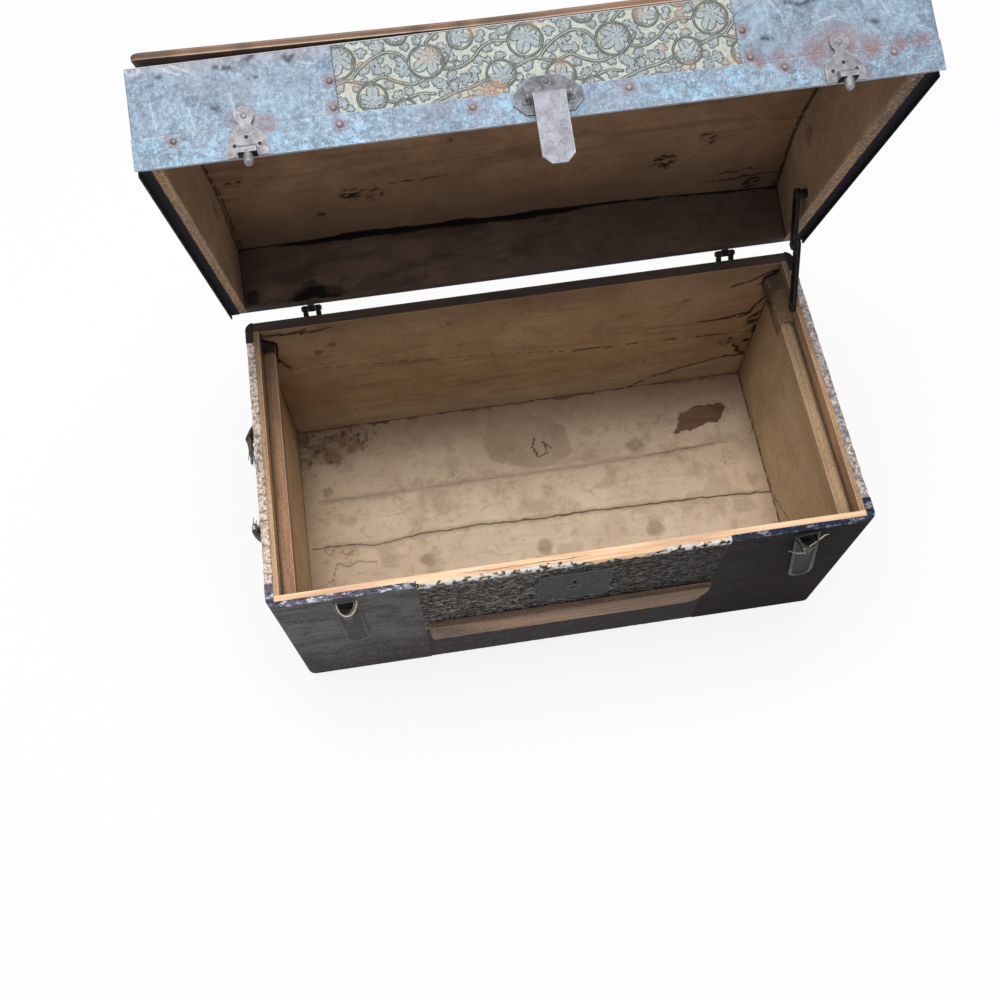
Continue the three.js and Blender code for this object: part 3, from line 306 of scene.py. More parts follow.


# Sheet blackened with old paint; its tones are left and right, then the same of its rim. The change from
# the lighter left to the darker right is a painted sheen, which also dims the streaks, chalk and rim
# towards the right
def dark_sheet(name, tones, shut=False, chalky=0.9):
    left, right, rim_left, rim_right = tones.split()
    g = Graph(name, left, shut)
    cloud = g.noise(50, 5, 0.68, (2.0, 1, 1), 6.0, 0.6)
    streak = g.noise(5.0, 5, 0.72, (9, 1, 1), 14.0, 0.5)
    fine = g.noise(1.6, 3, 0.7, (2.5, 1, 1), 24.0)
    # across runs from left to right: a painted sheen, lighter on the left and darker on the right
    across = g.span(g.axis(0), -0.38, 0.30)
    painted_sheen = g.span(across, 0.1, 1.0, 1.0, 0.3)
    g.cover(across, right)
    g.lay(g.axis(2), 0.16, 0.02, 0.7, "#342c2a")
    g.lay(cloud, 0.42, 0.62, 0.5, "#2c2a2a")
    g.lay(streak, 0.52, 0.66, 0.6, "#221f20")
    g.cover(g.times(g.span(streak, 0.44, 0.32, 0, 0.4), painted_sheen), "#6e7070")
    g.cover(g.times(g.span(fine, 0.55, 0.66, 0, 0.75), painted_sheen), "#84807c")
    g.lay(g.noise(0.8, 2, 0.7, offset=26.0), 0.58, 0.7, 0.45, "#181617")
    g.lay(g.noise(16, 5, 0.7, (2, 1, 1), 55.0), 0.58, 0.68, 0.45, "#5c4238")
    rim = g.mix(across, rim_left, rim_right)
    rim = g.mix(g.span(g.noise(6, 4, 0.75, (2, 1, 1), 33.0), 0.5, 0.58, 0, 0.8), rim, "#24242e")
    chalk = g.span(g.noise(9, 5, 0.78, (2, 1, 1), 37.0), 0.53, 0.6, 0, chalky)
    rim = g.mix(g.times(chalk, g.span(across, 0.2, 1.0, 1.0, 0.35)), rim, "#d6d4da")
    # Painted shade, deeper towards the right where the sheen falls off
    g.lay(across, 0.2, 1.0, 0.6, "#131011")
    g.cover(g.span(g.axis(2), (CASE_TOP - 2.6) * MM, (CASE_TOP - 0.4) * MM), rim)
    g.rub(1.2, 0.15, "#787678")
    height = g.plus(cloud, g.plus(g.times(fine, 0.4), streak))
    return g.finish(g.span(fine, 0.3, 0.7, 0.9, 0.75), 0.0, height, 0.4, 0.04)


# Embossed tin: leaves rubbed to the metal, the relief's lines darkened by dirt and by painted shade, old
# paint on the ground
def tin(name, tones, shut=False, bare=None, black_paint_and_painted_shade=0.0):
    ground, leaf, line, light, shade = tones.split()
    g = Graph(name, ground, shut)
    blotch = g.noise(4.5, 5, 0.75, offset=11.0)
    fine = g.noise(1.7, 3, 0.7, offset=15.0)
    g.lay(g.noise(28, 5, 0.68, offset=7.0, warp=0.7), 0.48, 0.68, 0.6, shade)
    g.lay(blotch, 0.5, 0.66, 0.55, light)
    g.cover(g.times(g.mark("leaf"), g.span(blotch, 0.62, 0.4, 0.35, 0.85)), leaf)
    g.lay(fine, 0.56, 0.7, 0.5, line)
    g.lay(fine, 0.4, 0.3, 0.45, light)
    # The line mark: dirt and painted shade of the relief, and on the front tin a painted shadow above the
    # slat
    g.lay(g.mark("line"), 0.25, 0.8, 0.88, line)
    g.cover(g.mark("stain_and_shade"), "#3c3632")
    g.cover(g.mark("rust"), "#b08662")
    if black_paint_and_painted_shade:
        g.lay(g.noise(4.2, 4, 0.8, (4, 1, 1), 63.0), 0.47, 0.53, 0.9, "#181414")
        g.lay(g.noise(3.0, 4, 0.85, (3, 1, 1), 67.0), 0.54, 0.59, 0.8, "#aca49a")
        g.lay(g.axis(2), 0.128, 0.112, 0.85, "#2c2626")
        # Painted shade: darker towards the right, where the sheen falls off as on the front sheet
        g.lay(g.axis(0), -0.1, 0.2, black_paint_and_painted_shade, "#1a1616")
    g.cover(g.mark("pale"), "#e8e8e2")
    if bare:
        patchy = g.noise(6.0, 6, 0.85, offset=91.0)
        worn = g.mix(g.span(blotch, 0.45, 0.6, 0, 0.8), bare, "#ceaa8c")
        worn = g.mix(g.span(patchy, 0.5, 0.55, 0, 0.85), worn, "#4a484c")
        worn = g.mix(g.span(patchy, 0.45, 0.4, 0, 0.8), worn, "#f4f0ea")
        top = g.span(g.axis(2), (CASE_TOP - 3.5) * MM, (CASE_TOP - 1.0) * MM)
        g.cover(g.times(top, g.span(blotch, 0.66, 0.56, 0.4, 1.0)), worn)
    return g.finish(g.span(fine, 0.3, 0.7, 0.5, 0.72), 0.12, fine, 0.25, 0.06 if black_paint_and_painted_shade else 0.5)


# Worn iron: its base, its light patches and the rust of its hollows
def iron(name, tones, shut=False, edge=0.7, metal=0.55):
    base, light, rust = tones.split()
    g = Graph(name, base, shut)
    cloud = g.noise(9, 4, 0.65, offset=9.0, warp=0.4)
    fine = g.noise(1.2, 3, 0.7, offset=19.0)
    g.lay(cloud, 0.38, 0.64, 1, light)
    g.lay(g.noise(5, 4, 0.7, offset=29.0), 0.54, 0.7, 0.7, rust)
    g.lay(fine, 0.58, 0.74, 0.5, "#3c3634")
    g.rub(1.4, edge, "#d0cecc")
    height = g.plus(cloud, g.times(fine, 0.6))
    return g.finish(g.span(fine, 0.3, 0.7, 0.42, 0.66), metal, height, 0.3, 0.1 if metal < 0.4 else 0.5)


def leather(name):
    g = Graph(name, "#26211f")
    pebble = g.get("TexVoronoi", {"Vector": g.at, "Scale": 700.0}, "Distance")
    cloud = g.noise(14, 4, 0.65, offset=11.0)
    fibre = g.noise(0.9, 3, 0.7, (1, 14, 1), 23.0)
    g.lay(cloud, 0.35, 0.68, 1, "#4a403a")
    g.lay(fibre, 0.56, 0.74, 0.55, "#80766c")
    g.rub(1.6, 0.8, "#88705a")
    height = g.plus(g.times(pebble, 0.6), fibre)
    return g.finish(g.span(cloud, 0.3, 0.7, 0.55, 0.8), 0.0, height, 0.35)


# Smooth random fields and marks over flat coordinates, for the meshes
def field(u, v, size, seed, octaves=3):
    total, amount, share = np.zeros(np.shape(u)), 0.0, 1.0
    for octave in range(octaves):
        lattice = np.random.RandomState(seed + 17 * octave).rand(64, 64)
        a, b = np.asarray(u) / size + 1000, np.asarray(v) / size + 1000
        i, j = np.floor(a).astype(int), np.floor(b).astype(int)
        s, t = a - i, b - j
        s, t = s * s * (3 - 2 * s), t * t * (3 - 2 * t)
        corner = lambda p, q: lattice[(i + p) % 64, (j + q) % 64]
        row = (corner(0, 0) * (1 - s) + corner(1, 0) * s) * (1 - t)
        total += share * (row + (corner(0, 1) * (1 - s) + corner(1, 1) * s) * t)
        amount += share
        size, share = size / 2, share / 2
    return total / amount


def smooth(value, low, high):
    t = np.clip((value - low) / (high - low), 0, 1)
    return t * t * (3 - 2 * t)


def to_line(u, v, points, closed=False):
    """Distance from each place to a line of points."""
    ends = list(zip(points, points[1:])) + ([(points[-1], points[0])] if closed else [])
    best = np.full(np.shape(u), 1e9)
    for (ax, ay), (bx, by) in ends:
        dx, dy = bx - ax, by - ay
        t = np.clip(((u - ax) * dx + (v - ay) * dy) / max(dx * dx + dy * dy, 1e-9), 0, 1)
        best = np.minimum(best, np.hypot(u - ax - t * dx, v - ay - t * dy))
    return best


def inside(u, v, points):
    """True where a place is within a closed line of points."""
    found = np.zeros(np.shape(u), bool)
    for (ax, ay), (bx, by) in zip(points, points[1:] + points[:1]):
        crosses = (ay > v) != (by > v)
        found ^= crosses & (u < (bx - ax) * (v - ay) / ((by - ay) or 1e-9) + ax)
    return found


def beyond(u, v, points):
    """Distance past a closed line of points, and less than 0 within it."""
    return to_line(u, v, points, True) * np.where(inside(u, v, points), -1, 1)


def ripple(u, size, seed):
    """A random field along one direction."""
    return field(u, u * 0, size, seed)


def most(layers, top=1.0):
    """The strongest of several marks at each place, up to a limit."""
    return np.clip(np.maximum.reduce(layers), 0, top)


def crack(u, v, points, width, seed, wobble=4.0, breaks=0.0):
    """Strength of a ragged crack along a line, from 0 to 1."""
    shift = (field(u, v, 14, seed) - 0.5) * wobble
    near = 1 - smooth(to_line(u, v + shift, points), width * 0.4, width * 1.2)
    return near * smooth(field(u, v, 11, seed + 5), breaks - 0.12, breaks + 0.02) if breaks else near


def blob(u, v, spot, radius, seed, ragged=0.5):
    away = np.hypot(u - spot[0], v - spot[1]) / radius
    return 1 - smooth(away + (field(u, v, radius * 0.6, seed) - 0.5) * ragged, 0.55, 1.1)


def patch(u, v, points, seed, soft=6.0, ragged=10.0):
    """A ragged patch with a closed outline: 1 inside, 0 outside, soft at its edge."""
    return 1 - smooth(beyond(u, v, points) + (field(u, v, 12, seed) - 0.5) * ragged, -soft, soft)


def linked(name, mesh, material):
    mesh.materials.append(material)
    obj = bpy.data.objects.new(name, mesh)
    bpy.context.scene.collection.objects.link(obj)
    return obj


def mesh_object(name, points, faces, material, shut=False):
    """A smooth piece from points in millimetres, which may be those of the shut lid."""
    mesh = bpy.data.meshes.new(name)
    mesh.from_pydata(((opened(points) if shut else points) * MM).tolist(), [], faces)
    mesh.polygons.foreach_set("use_smooth", [True] * len(mesh.polygons))
    return linked(name, mesh, material)


def marked(obj, name, values):
    """A value at each point, for the material."""
    layer = obj.data.attributes.new(name, "FLOAT", "POINT")
    layer.data.foreach_set("value", values.astype(np.float32))


def placed(obj, body, replaces=()):
    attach(obj, body)
    if replaces:
        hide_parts(*replaces)
    return obj


def relief(name, body, material, us, ss, place, height, marks=None, hole=None,
           replaces=(), shut=False, rim=1.0):
    """A sheet as a fine grid: place gives its points and normals, height lifts them, hole tears it."""
    u, s = np.meshgrid(us, ss, indexing="ij")
    points, normals = place(u, s)
    co = (points + normals * height(u, s)[..., None]).reshape(-1, 3)
    normal = normals.reshape(-1, 3)
    index = np.arange(u.size).reshape(u.shape)
    quads = np.stack([index[:-1, :-1], index[1:, :-1], index[1:, 1:], index[:-1, 1:]], -1).reshape(-1, 4)
    if hole is not None:
        middle = [(a[:-1, :-1] + a[1:, 1:]) / 2 for a in (u, s)]
        quads = quads[~hole(*middle).reshape(-1)]
    a, b, c = (co[quads[0, k]] for k in (0, 1, 2))
    if np.dot(np.cross(b - a, c - b), normal[quads[0, 0]]) < 0:
        quads = quads[:, ::-1]
    edges = np.concatenate([quads[:, [k, (k + 1) % 4]] for k in range(4)])
    _, first, count = np.unique(np.sort(edges, 1), axis=0, return_index=True, return_counts=True)
    border = edges[first[count == 1]]
    used = np.unique(border)
    below = np.full(len(co), -1)
    below[used] = len(co) + np.arange(len(used))
    skirt = np.stack([border[:, 1], border[:, 0], below[border[:, 0]], below[border[:, 1]]], 1)
    faces = np.concatenate([quads, skirt])
    source = np.concatenate([index.reshape(-1), used])
    co = np.concatenate([co, co[used] - normal[used] * rim])
    keep = np.unique(faces)
    again = np.full(len(co), -1)
    again[keep] = np.arange(len(keep))
    obj = mesh_object(name, co[keep], again[faces].tolist(), material, shut)
    for key, values in (marks or {}).items():
        marked(obj, key, values(u, s).reshape(-1)[source[keep]])
    return placed(obj, body, replaces)


def flat(side, out, facing):
    """A flat place across one axis, facing along it; u and s run along the other two."""
    def at(u, s):
        columns = [u, s]
        columns.insert(side, np.full_like(u, out))
        normals = np.zeros(u.shape + (3,))
        normals[..., side] = facing
        return np.stack(columns, -1), normals
    return at


FOLD_TOP = 316.6


def folded(base, side, out, bend):
    """A sheet that climbs a wall and folds over its top: side is the wall's axis, out its sign."""
    def at(u, s):
        over = np.clip(s - FOLD_TOP, 0, None)
        angle = np.clip(over / bend, 0, math.pi / 2)
        past = np.clip(over - bend * math.pi / 2, 0, None)
        points, normals = np.zeros((2,) + u.shape + (3,))
        points[..., 1 - side] = u
        points[..., side] = out * (base - (bend * (1 - np.cos(angle)) + past))
        points[..., 2] = np.minimum(s, FOLD_TOP) + bend * np.sin(angle)
        normals[..., side] = out * np.cos(angle)
        normals[..., 2] = np.sin(angle)
        return points, normals
    return at


# Scrolling vine with round leaves, a common pressed pattern, as one repeating tile
TILE_U, TILE_V, TILE_STEP = 196.0, 84.0, 0.5
MEDALLIONS = [(20, 14, 15), (80, 46, 18), (118, 68, 13), (155, 23, 15), (185, 56, 18), (52, 80, 12)]
STEMS = [
    [(20, 30), (34, 36), (46, 28), (62, 22), (78, 27), (96, 36), (104, 50)],
    [(62, 46), (54, 58), (40, 62), (24, 56), (10, 46), (0, 34)],
    [(96, 36), (112, 34), (128, 42), (138, 54), (150, 60), (166, 58)],
    [(80, 64), (90, 74), (104, 82), (122, 86), (140, 82), (152, 72), (162, 76), (176, 84)],
    [(138, 18), (124, 12), (108, 10), (92, 4), (76, -2), (64, -4)],
    [(170, 28), (184, 34), (196, 36), (206, 30), (216, 30)],
    [(36, 8), (48, 4), (60, 10), (70, 12), (84, 10)],
]


def wrapped(distance, size):
    """The shortest way round a repeating tile."""
    return (distance + size / 2) % size - size / 2


def vine_tile():
    """Height, dark outline and leaf share of the pattern, over one tile."""
    u, v = np.meshgrid(np.arange(0, TILE_U, TILE_STEP), np.arange(0, TILE_V, TILE_STEP), indexing="ij")

    def from_spot(x, y):
        return wrapped(u - x, TILE_U), wrapped(v - y, TILE_V)

    def away(x, y):
        return np.hypot(*from_spot(x, y))

    def ridge(distance, width):
        return np.exp(-(distance / width) ** 2)

    def leaf_at(x, y, turn, size, lobes):
        """Distance inside the edge of a lobed leaf, and its veins."""
        a, b = from_spot(x, y)
        d, angle = np.hypot(a, b), np.arctan2(b, a) - turn
        fan = np.clip(np.abs((angle + math.pi) % (2 * math.pi) - math.pi) / 2.5, 0, 1)
        comb = np.abs(np.cos(lobes * angle / 2))
        reach = size * (1 - 0.5 * fan ** 1.6) * (0.45 + 0.55 * comb ** 0.55)
        vein = smooth(np.abs(np.sin(lobes * angle / 2)) * d, 1.0, 0.2) * smooth(d, 1.0, 3.0)
        return reach - d, vein

    rng = np.random.RandomState(7)
    height, leafy = np.zeros(u.shape), np.zeros(u.shape)
    taken = np.full(u.shape, False)
    for x, y, r in MEDALLIONS:
        taken |= away(x, y) < r + 2
    stems = np.full(u.shape, 1e9)
    for line in STEMS:
        points = np.array(line, float)
        t = np.arange(len(points))
        fine = np.linspace(0, len(points) - 1, 14 * len(points))
        smoothed = np.stack([np.interp(fine, t, points[:, k]) for k in (0, 1)], 1)
        for _ in range(40):
            smoothed[1:-1] = (smoothed[:-2] + 2 * smoothed[1:-1] + smoothed[2:]) / 4
        for px, py in smoothed:
            stems = np.minimum(stems, away(px, py))
    spots = []
    for _ in range(2600):
        x, y = rng.rand() * TILE_U, rng.rand() * TILE_V
        i, j = int(x / TILE_STEP) % u.shape[0], int(y / TILE_STEP) % u.shape[1]
        size = 6.0 + 6.5 * rng.rand()
        near = [math.hypot(wrapped(x - px, TILE_U), wrapped(y - py, TILE_V)) - 0.6 * (size + other)
                for px, py, other, _, _ in spots]
        if taken[i, j] or stems[i, j] < 0.3 * size or (near and min(near) < 0):
            continue
        if (taken & (away(x, y) < 0.4 * size)).any():
            continue
        spots.append((x, y, size, rng.rand() * 6.3, rng.choice([4, 5, 5, 6])))
    for x, y, size, turn, lobes in spots:
        depth, vein = leaf_at(x, y, turn, size, lobes)
        height = np.maximum(height, smooth(depth, 0, 0.9) * (0.62 - 0.4 * vein))
        leafy = np.maximum(leafy, smooth(depth, 0.1, 0.7) * (1 - 0.55 * vein))
    height = np.where(stems < 2.0, ridge(stems, 1.5) * 0.95, height)
    leafy = leafy * (stems > 1.8)
    for i, (x, y, r) in enumerate(MEDALLIONS):
        d = away(x, y)
        within = d < r + 1.6
        turn = 1.4 + 2.3 * i
        back = 0.38 * r
        depth, vein = leaf_at(x - back * math.cos(turn), y - back * math.sin(turn), turn, r * 1.25,
                              5 + i % 2)
        petal = smooth(depth, 0, 0.9) * smooth(r - 2.2 - d, 0, 0.8)
        inner = np.maximum(petal * (0.7 - 0.45 * vein), smooth(2.2 - d, 0, 1) * 0.8)
        height = np.where(within, np.maximum(inner, ridge(d - r, 1.0) * 0.9), height)
        leafy = np.where(within, petal * (1 - 0.55 * vein), leafy)
    slope = np.hypot(*((np.roll(height, 1, k) - np.roll(height, -1, k)) / 2 for k in (0, 1)))
    scratch = smooth(np.abs(field(u, v, 7, 21, 3) - 0.5), 0.018, 0.0) * (leafy < 0.3)
    hatch = smooth(np.abs(field(u, v, 5, 23, 2) - 0.5), 0.03, 0.0)
    # The dark outline follows the relief's slopes: dirt in the lines and painted shade of the relief
    # together, with scratches and hatching added
    line = np.maximum.reduce([np.clip(slope * 3.4, 0, 1), 0.75 * scratch, 0.5 * hatch])
    return height + 0.1 * field(u, v, 2.2, 5, 2), line, leafy


VINE, VINE_LINE, VINE_LEAF = vine_tile()


def tiled(table, u, v):
    a, b = (u / TILE_STEP) % table.shape[0], (v / TILE_STEP) % table.shape[1]
    i, j = np.floor(a).astype(int) % table.shape[0], np.floor(b).astype(int) % table.shape[1]
    s, t = a - np.floor(a), b - np.floor(b)
    k, l = (i + 1) % table.shape[0], (j + 1) % table.shape[1]
    low = table[i, j] * (1 - s) + table[k, j] * s
    return low * (1 - t) + (table[i, l] * (1 - s) + table[k, l] * s) * t


def steps(low, high, step):
    return np.linspace(low, high, max(2, int(round((high - low) / step)) + 1))


# Materials
RIVETS = [(-380.6, 26.2), (-216, 70.8), (-215.8, 41.4), (-211.6, 22.5), (-74.5, 22.6),
          (89, 23.2), (217, 70.3), (220.3, 39.8), (254.1, 23.9), (371.6, 25.8)]
LID_FACE = -228.2
RUST = [(x, z, 11) for x, z in RIVETS]
RUST += [(-307, 42, 17), (315, 40, 34), (290, 33, 26), (-285, 33, 16), (252, 34, 14), (348, 35, 18),
         (380, 35, 12), (404, 37, 12), (330, 12, 16), (226, 34, 12)]
RAW = wood("raw_wood", "#ffdcb6 #e6b488 #a06e4e", split=True)
# The rear share of the end boards and tray cleats is painted shade under the open lid
RAW_SIDE = wood("raw_wood_side", "#cea882 #ac8260 #604232", 1, rear=0.55)
CLEAT = wood("cleat_wood", "#bc9470 #9e7252 #64402e", 1, rear=0.65)
CLEAT_PALE = wood("cleat_wood_pale", "#c6a682 #ac8a68 #684c3a", 1, rear=0.35)
DULL = wood("dull_wood", "#84624c #684c3a #3a2a22", dirt=0.8)
BACK_RIM = wood("back_rim_wood", "#4a3930 #362a25 #1e1816", dirt=0.8)
SLAT = wood("slat_wood", "#b68e6e #745640 #2a201c", dirt=0.7, spots=0.8, edges=0.45, rough=0.4)
LID_WOOD = wood("lid_wood", "#a48262 #80624a #3a2b23", 1, True, 0.8, rough=0.6)
LID_SLAT = wood("lid_slat_wood", "#88644e #644838 #32251f", 0, True, edges=0.95)
FRAYED = wood("frayed_fibre", "#787064 #544e46 #302c28", 1, dirt=0.6)
THREAD = wood("waxed_thread", "#928068 #766450 #463a30", 1)
# The rear share of the floor and end-wall papers is painted shadow of the open lid
FLOOR_PAPER = lining("floor_paper", "#fee8ca #f0d6b8 #92765e", rear=0.75, streaky=0.35)
WALL_PAPER = lining("wall_paper", "#a88a6a #96785a #604838", streaky=0.55)
SIDE_PAPER = lining("side_paper", "#e2c8a0 #d0b48e #866a50", grain_axis=1, rear=0.4, streaky=0.6)
CORNER_DARK = lining("corner_paper", "#4a3a32 #302622 #14100f", speckle=0.8)
CORNER_PALE = lining("loose_paper", "#806a52 #685440 #362a23", speckle=0.8)
LID_PAPER = lining("lid_paper", "#8e7056 #7a5e48 #46352b", True, streaky=0.5)
LID_END_PAPER = lining("lid_end_paper", "#a4886e #8e745e #504036", True)
LID_BACK_PAPER = lining("lid_back_paper", "#645144 #534237 #2a211d", True)
ZINC = zinc("zinc_sheet", "#607082 #8498aa #acc2d0")
BAND = zinc("zinc_band", "#5c6a7c #768698 #9cacba", "#96bed6", 0.7)
# The lid's end bands are nearly black: old black paint, deepened as painted shade on the skirts' inner
# faces
BLACK_BAND_SHADED = dark_sheet("black_band_shaded", "#222226 #1e1e20 #28282c #28282c", True, 0.0)
# The front sheet's lighter left tones and darker right tones are a painted sheen
DARK = dark_sheet("dark_sheet", "#6a6767 #423a3a #64606e #283044")
BACK_DARK = dark_sheet("back_dark_sheet", "#403a38 #363232 #3a3230 #302c2e", False, 0.0)
LID_TIN = tin("lid_tin", "#acb0a4 #82909c #323436 #cad6d8 #827e70", True)
FRONT_TIN = tin("front_tin", "#484442 #5c5856 #201d1d #7a7670 #322e2d", black_paint_and_painted_shade=0.7)
END_TINS = {side: tin(f"{side}_tin", "#b0aea8 #70767c #303032 #e2e0da #968076", bare=bare)
            for side, bare in (("left", "#deccba"), ("right", "#9e9ea2"))}
IRON = iron("iron", "#747274 #9c9ca0 #7c665c", True)
BRACKET = iron("bracket_iron", "#525258 #7a7c82 #60504a", True, 0.8)
TONGUE = iron("tongue_iron", "#808088 #9c9da6 #68605e", True)
RIVET_IRON = iron("rivet_iron", "#706866 #9e9896 #806054", True)
NAIL = iron("nail_iron", "#5c5856 #84807c #705446", edge=0.4)
PLATE = iron("lock_sheet", "#2c2d2f #3c3d3f #322a28", edge=0.4, metal=0.1)
SOCKET = iron("socket_iron", "#343232 #42403f #3e3430", edge=0.5, metal=0.2)
DARK_SOCKET = iron("dark_socket_iron", "#1a1819 #282525 #302826", edge=0.3, metal=0.2)
LIP = iron("rubbed_lip", "#b0a68c #cec6ac #786854", edge=0.3, metal=0.2)
# Lighter iron for the socket plates' outlines: rubbed metal with a painted highlight
RUBBED_AND_HIGHLIT = iron("rubbed_highlit_iron", "#52504e #686664 #4a403a", edge=0.3, metal=0.3)
CAP = iron("cap_iron", "#3c3a3a #545250 #544238", metal=0.3)
BLACK = iron("black_iron", "#141314 #201f1f #2a221f", edge=0.2, metal=0.2)
LEATHER = leather("leather")


def soften(obj, width, segments):
    """Rounded edges of a hard piece."""
    edges = obj.modifiers.new("edges", "BEVEL")
    edges.width = width * MM
    edges.segments = segments
    edges.limit_method = "ANGLE"
    edges.angle_limit = math.radians(40)


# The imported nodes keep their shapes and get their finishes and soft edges
FINISH = {key: finish for finish, keys in (
    (DULL, "floor_board back_board"), (RAW, "front_board"), (RAW_SIDE, "left_end_board right_end_board"),
    (CLEAT, "tray_cleat"), (CLEAT_PALE, "tray_cleat_right"), (BACK_RIM, "back_board_upper lid_back_board"),
    (DARK, "front_sheet"), (BACK_DARK, "back_sheet"), (SLAT, "front_slat"), (PLATE, "lock_plate"),
    (SOCKET, "dowel_socket"), (DARK_SOCKET, "dowel_socket_right"), (IRON, "dowel_plate"),
    (BLACK, "hinge stay"), (CAP, "handle_cap"), (BRACKET, "hasp"), (TONGUE, "hasp_tongue"),
    (LID_WOOD, "lid_left_end_board lid_right_end_board lid_front_board dome_board"),
    (LID_SLAT, "dome_slat"), (BAND, "lid_band_front"), (BLACK_BAND_SHADED, "lid_band_left lid_band_right"),
    (ZINC, "lid_front_sheet lid_left_end_sheet lid_right_end_sheet lid_dome_sheet"))
    for key in keys.split()}
EDGE_WIDTHS = {"sheet": 0.4, "tin": 0.4, "band": 0.4, "plate": 0.5, "board": 1.2, "slat": 2.0,
               "cleat": 1.6, "leaf": 0.5, "bracket": 0.6, "tongue": 0.5, "socket": 0.6, "cap": 0.5,
               "link": 0.6, "pin": 0.3}
for node_name, node in NODES.items():
    found = [key for key in FINISH if node_name.startswith(key)]
    if found:
        node.data.materials.clear()
        node.data.materials.append(FINISH[max(found, key=len)])
    widths = [EDGE_WIDTHS[key] for key in EDGE_WIDTHS if key in node_name]
    if widths:
        soften(node, widths[-1], 2)

# Case floor: paper over three boards, torn and stained, and darker towards the rear as painted shadow of
# the open lid
FRONT_JOINT = [(-379, -16), (-347, -16), (-310, -17), (-278, -24), (-246, -20), (-201, -16),
               (-105, -14), (-15, -18), (76, -18), (173, -20), (270, -23), (328, -25), (387, -30)]
REAR_JOINT = [(-362, 67), (-236, 66), (-106, 67), (19, 67), (111, 67), (212, 69), (312, 72)]
TORN = [(270, 140), (303, 150), (340, 148), (349, 137), (330, 112), (311, 112), (289, 104), (250, 101)]
RING = [(-74, 137), (-65, 162), (-46, 180), (-8, 184), (37, 171), (67, 149), (77, 98), (40, 75),
        (-12, 79), (-68, 103)]
DARK_CORNER = [(-390, 204), (-327, 207), (-287, 205), (-243, 179), (-258, 166), (-292, 149),
               (-327, 132), (-390, 140)]
KNOTS = [(181, 92, 15), (183, -64, 15), (-193, -65, 13), (-1, -70, 14), (-331, 161, 7), (-345, 84, 9)]
MARKS = [(-133, 83, 9), (-342, -26, 8), (-318, -40, 9), (331, 40, 12), (158, 67, 6), (20, 33, 9),
         (-368, 117, 12)]
SCRIBBLE = [(13, 131), (7, 113), (14, 97), (31, 98), (30, 113), (25, 121), (38, 108)]
LEFT_LINES = [[(-340, -46), (-322, -55), (-309, -47), (-295, -52), (-278, -53)],
              [(-341, -48), (-347, -60), (-351, -74), (-363, -81), (-374, -85), (-384, -95)],
              [(-361, -19), (-354, -31), (-350, -27)], [(-329, -24), (-333, -31), (-324, -34), (-315, -27)]]
END_INNER, LONG_INNER, FLOOR_TOP = 387.9, 204.7, 14.05
CASE_WIDE, CASE_DEEP, LINING_LOW = (-387.4, 387.4), (-204.2, 204.2), 14.4


def floor_stains_and_lid_shadow(u, v):
    ring = patch(u, v, RING, 8, 3, 12)
    loops = smooth(np.abs(field(u, v, 7, 31) - 0.5), 0.06, 0.0)
    # The layer that rises towards the rear is painted shadow of the open lid; the others are stains, marks,
    # cracks and darker strips along the ends
    layers = [patch(u, v, DARK_CORNER, 3, 12, 40) * (0.45 + 0.5 * smooth(field(u, v, 13, 6), 0.35, 0.65)),
              ring * (0.3 + 0.35 * field(u, v, 30, 7)), 0.85 * ring * (1 - ring ** 4),
              smooth(v, 110, 205) * (0.3 + 0.5 * field(u, v, 60, 51)), smooth(-u, 340, 392) * 0.5,
              smooth(u, 352, 392) * 0.45, smooth(field(u, v, 26, 53), 0.52, 0.75) * 0.3,
              0.35 * crack(u, v, FRONT_JOINT, 7, 41, 8), 0.35 * crack(u, v, REAR_JOINT, 7, 42, 8)]
    layers += [blob(u, v, (x, y), r * 1.15, 11, 0.7) * (0.42 + 0.3 * field(u, v, 6, 13))
               for x, y, r in KNOTS]
    layers += [0.8 * loops * blob(u, v, (x, y), r * 1.3, 12) for x, y, r in MARKS]
    layers += [0.75 * crack(u, v, line, 1.3, 44 + k, 7, 0.15) for k, line in enumerate(LEFT_LINES)]
    return most(layers, 0.95)


def floor_crack(u, v):
    ragged = 1.5 + 5.0 * smooth(ripple(u, 9, 64), 0.5, 0.8)
    rear = (1 - smooth(LONG_INNER - v, ragged, ragged + 1.5)) * smooth(ripple(u, 31, 60), 0.38, 0.46)
    side = (1 - smooth(END_INNER - u, 1.2, 3.2)) * smooth(ripple(v, 12, 65), 0.44, 0.52)
    flecks = smooth(field(u, v, 5, 67), 0.6, 0.68) * patch(u, v, DARK_CORNER, 3, 10, 26)
    return most([0.85 * crack(u, v, FRONT_JOINT, 1.1 + 0.5 * smooth(u, -300, -50), 61, 5),
                 (0.3 + 0.5 * smooth(u, 130, 220)) * crack(u, v, REAR_JOINT, 0.8, 62, 3, 0.35),
                 crack(u, v, SCRIBBLE, 1.5, 63, 9, 0.3), 0.9 * rear, 0.85 * side,
                 blob(u, v, (-386, 196), 15, 66, 1.2), 0.6 * flecks])


def floor_height(u, v):
    curl = np.exp(-(np.clip(beyond(u, v, TORN), 0, None) / 5) ** 2) * smooth(field(u, v, 20, 72), 0.4, 0.7)
    flap = np.exp(-(to_line(u, v, [(248, 69), (288, 68), (329, 70)]) / 4) ** 2)
    swell = 0.9 * (field(u, v, 45, 71) - 0.4)
    return 0.8 + swell + 3.0 * curl + 3.5 * flap - 1.3 * floor_crack(u, v)


def torn_floor(u, v):
    return beyond(u, v, TORN) + (field(u, v, 8, 73) - 0.5) * 9 < -1


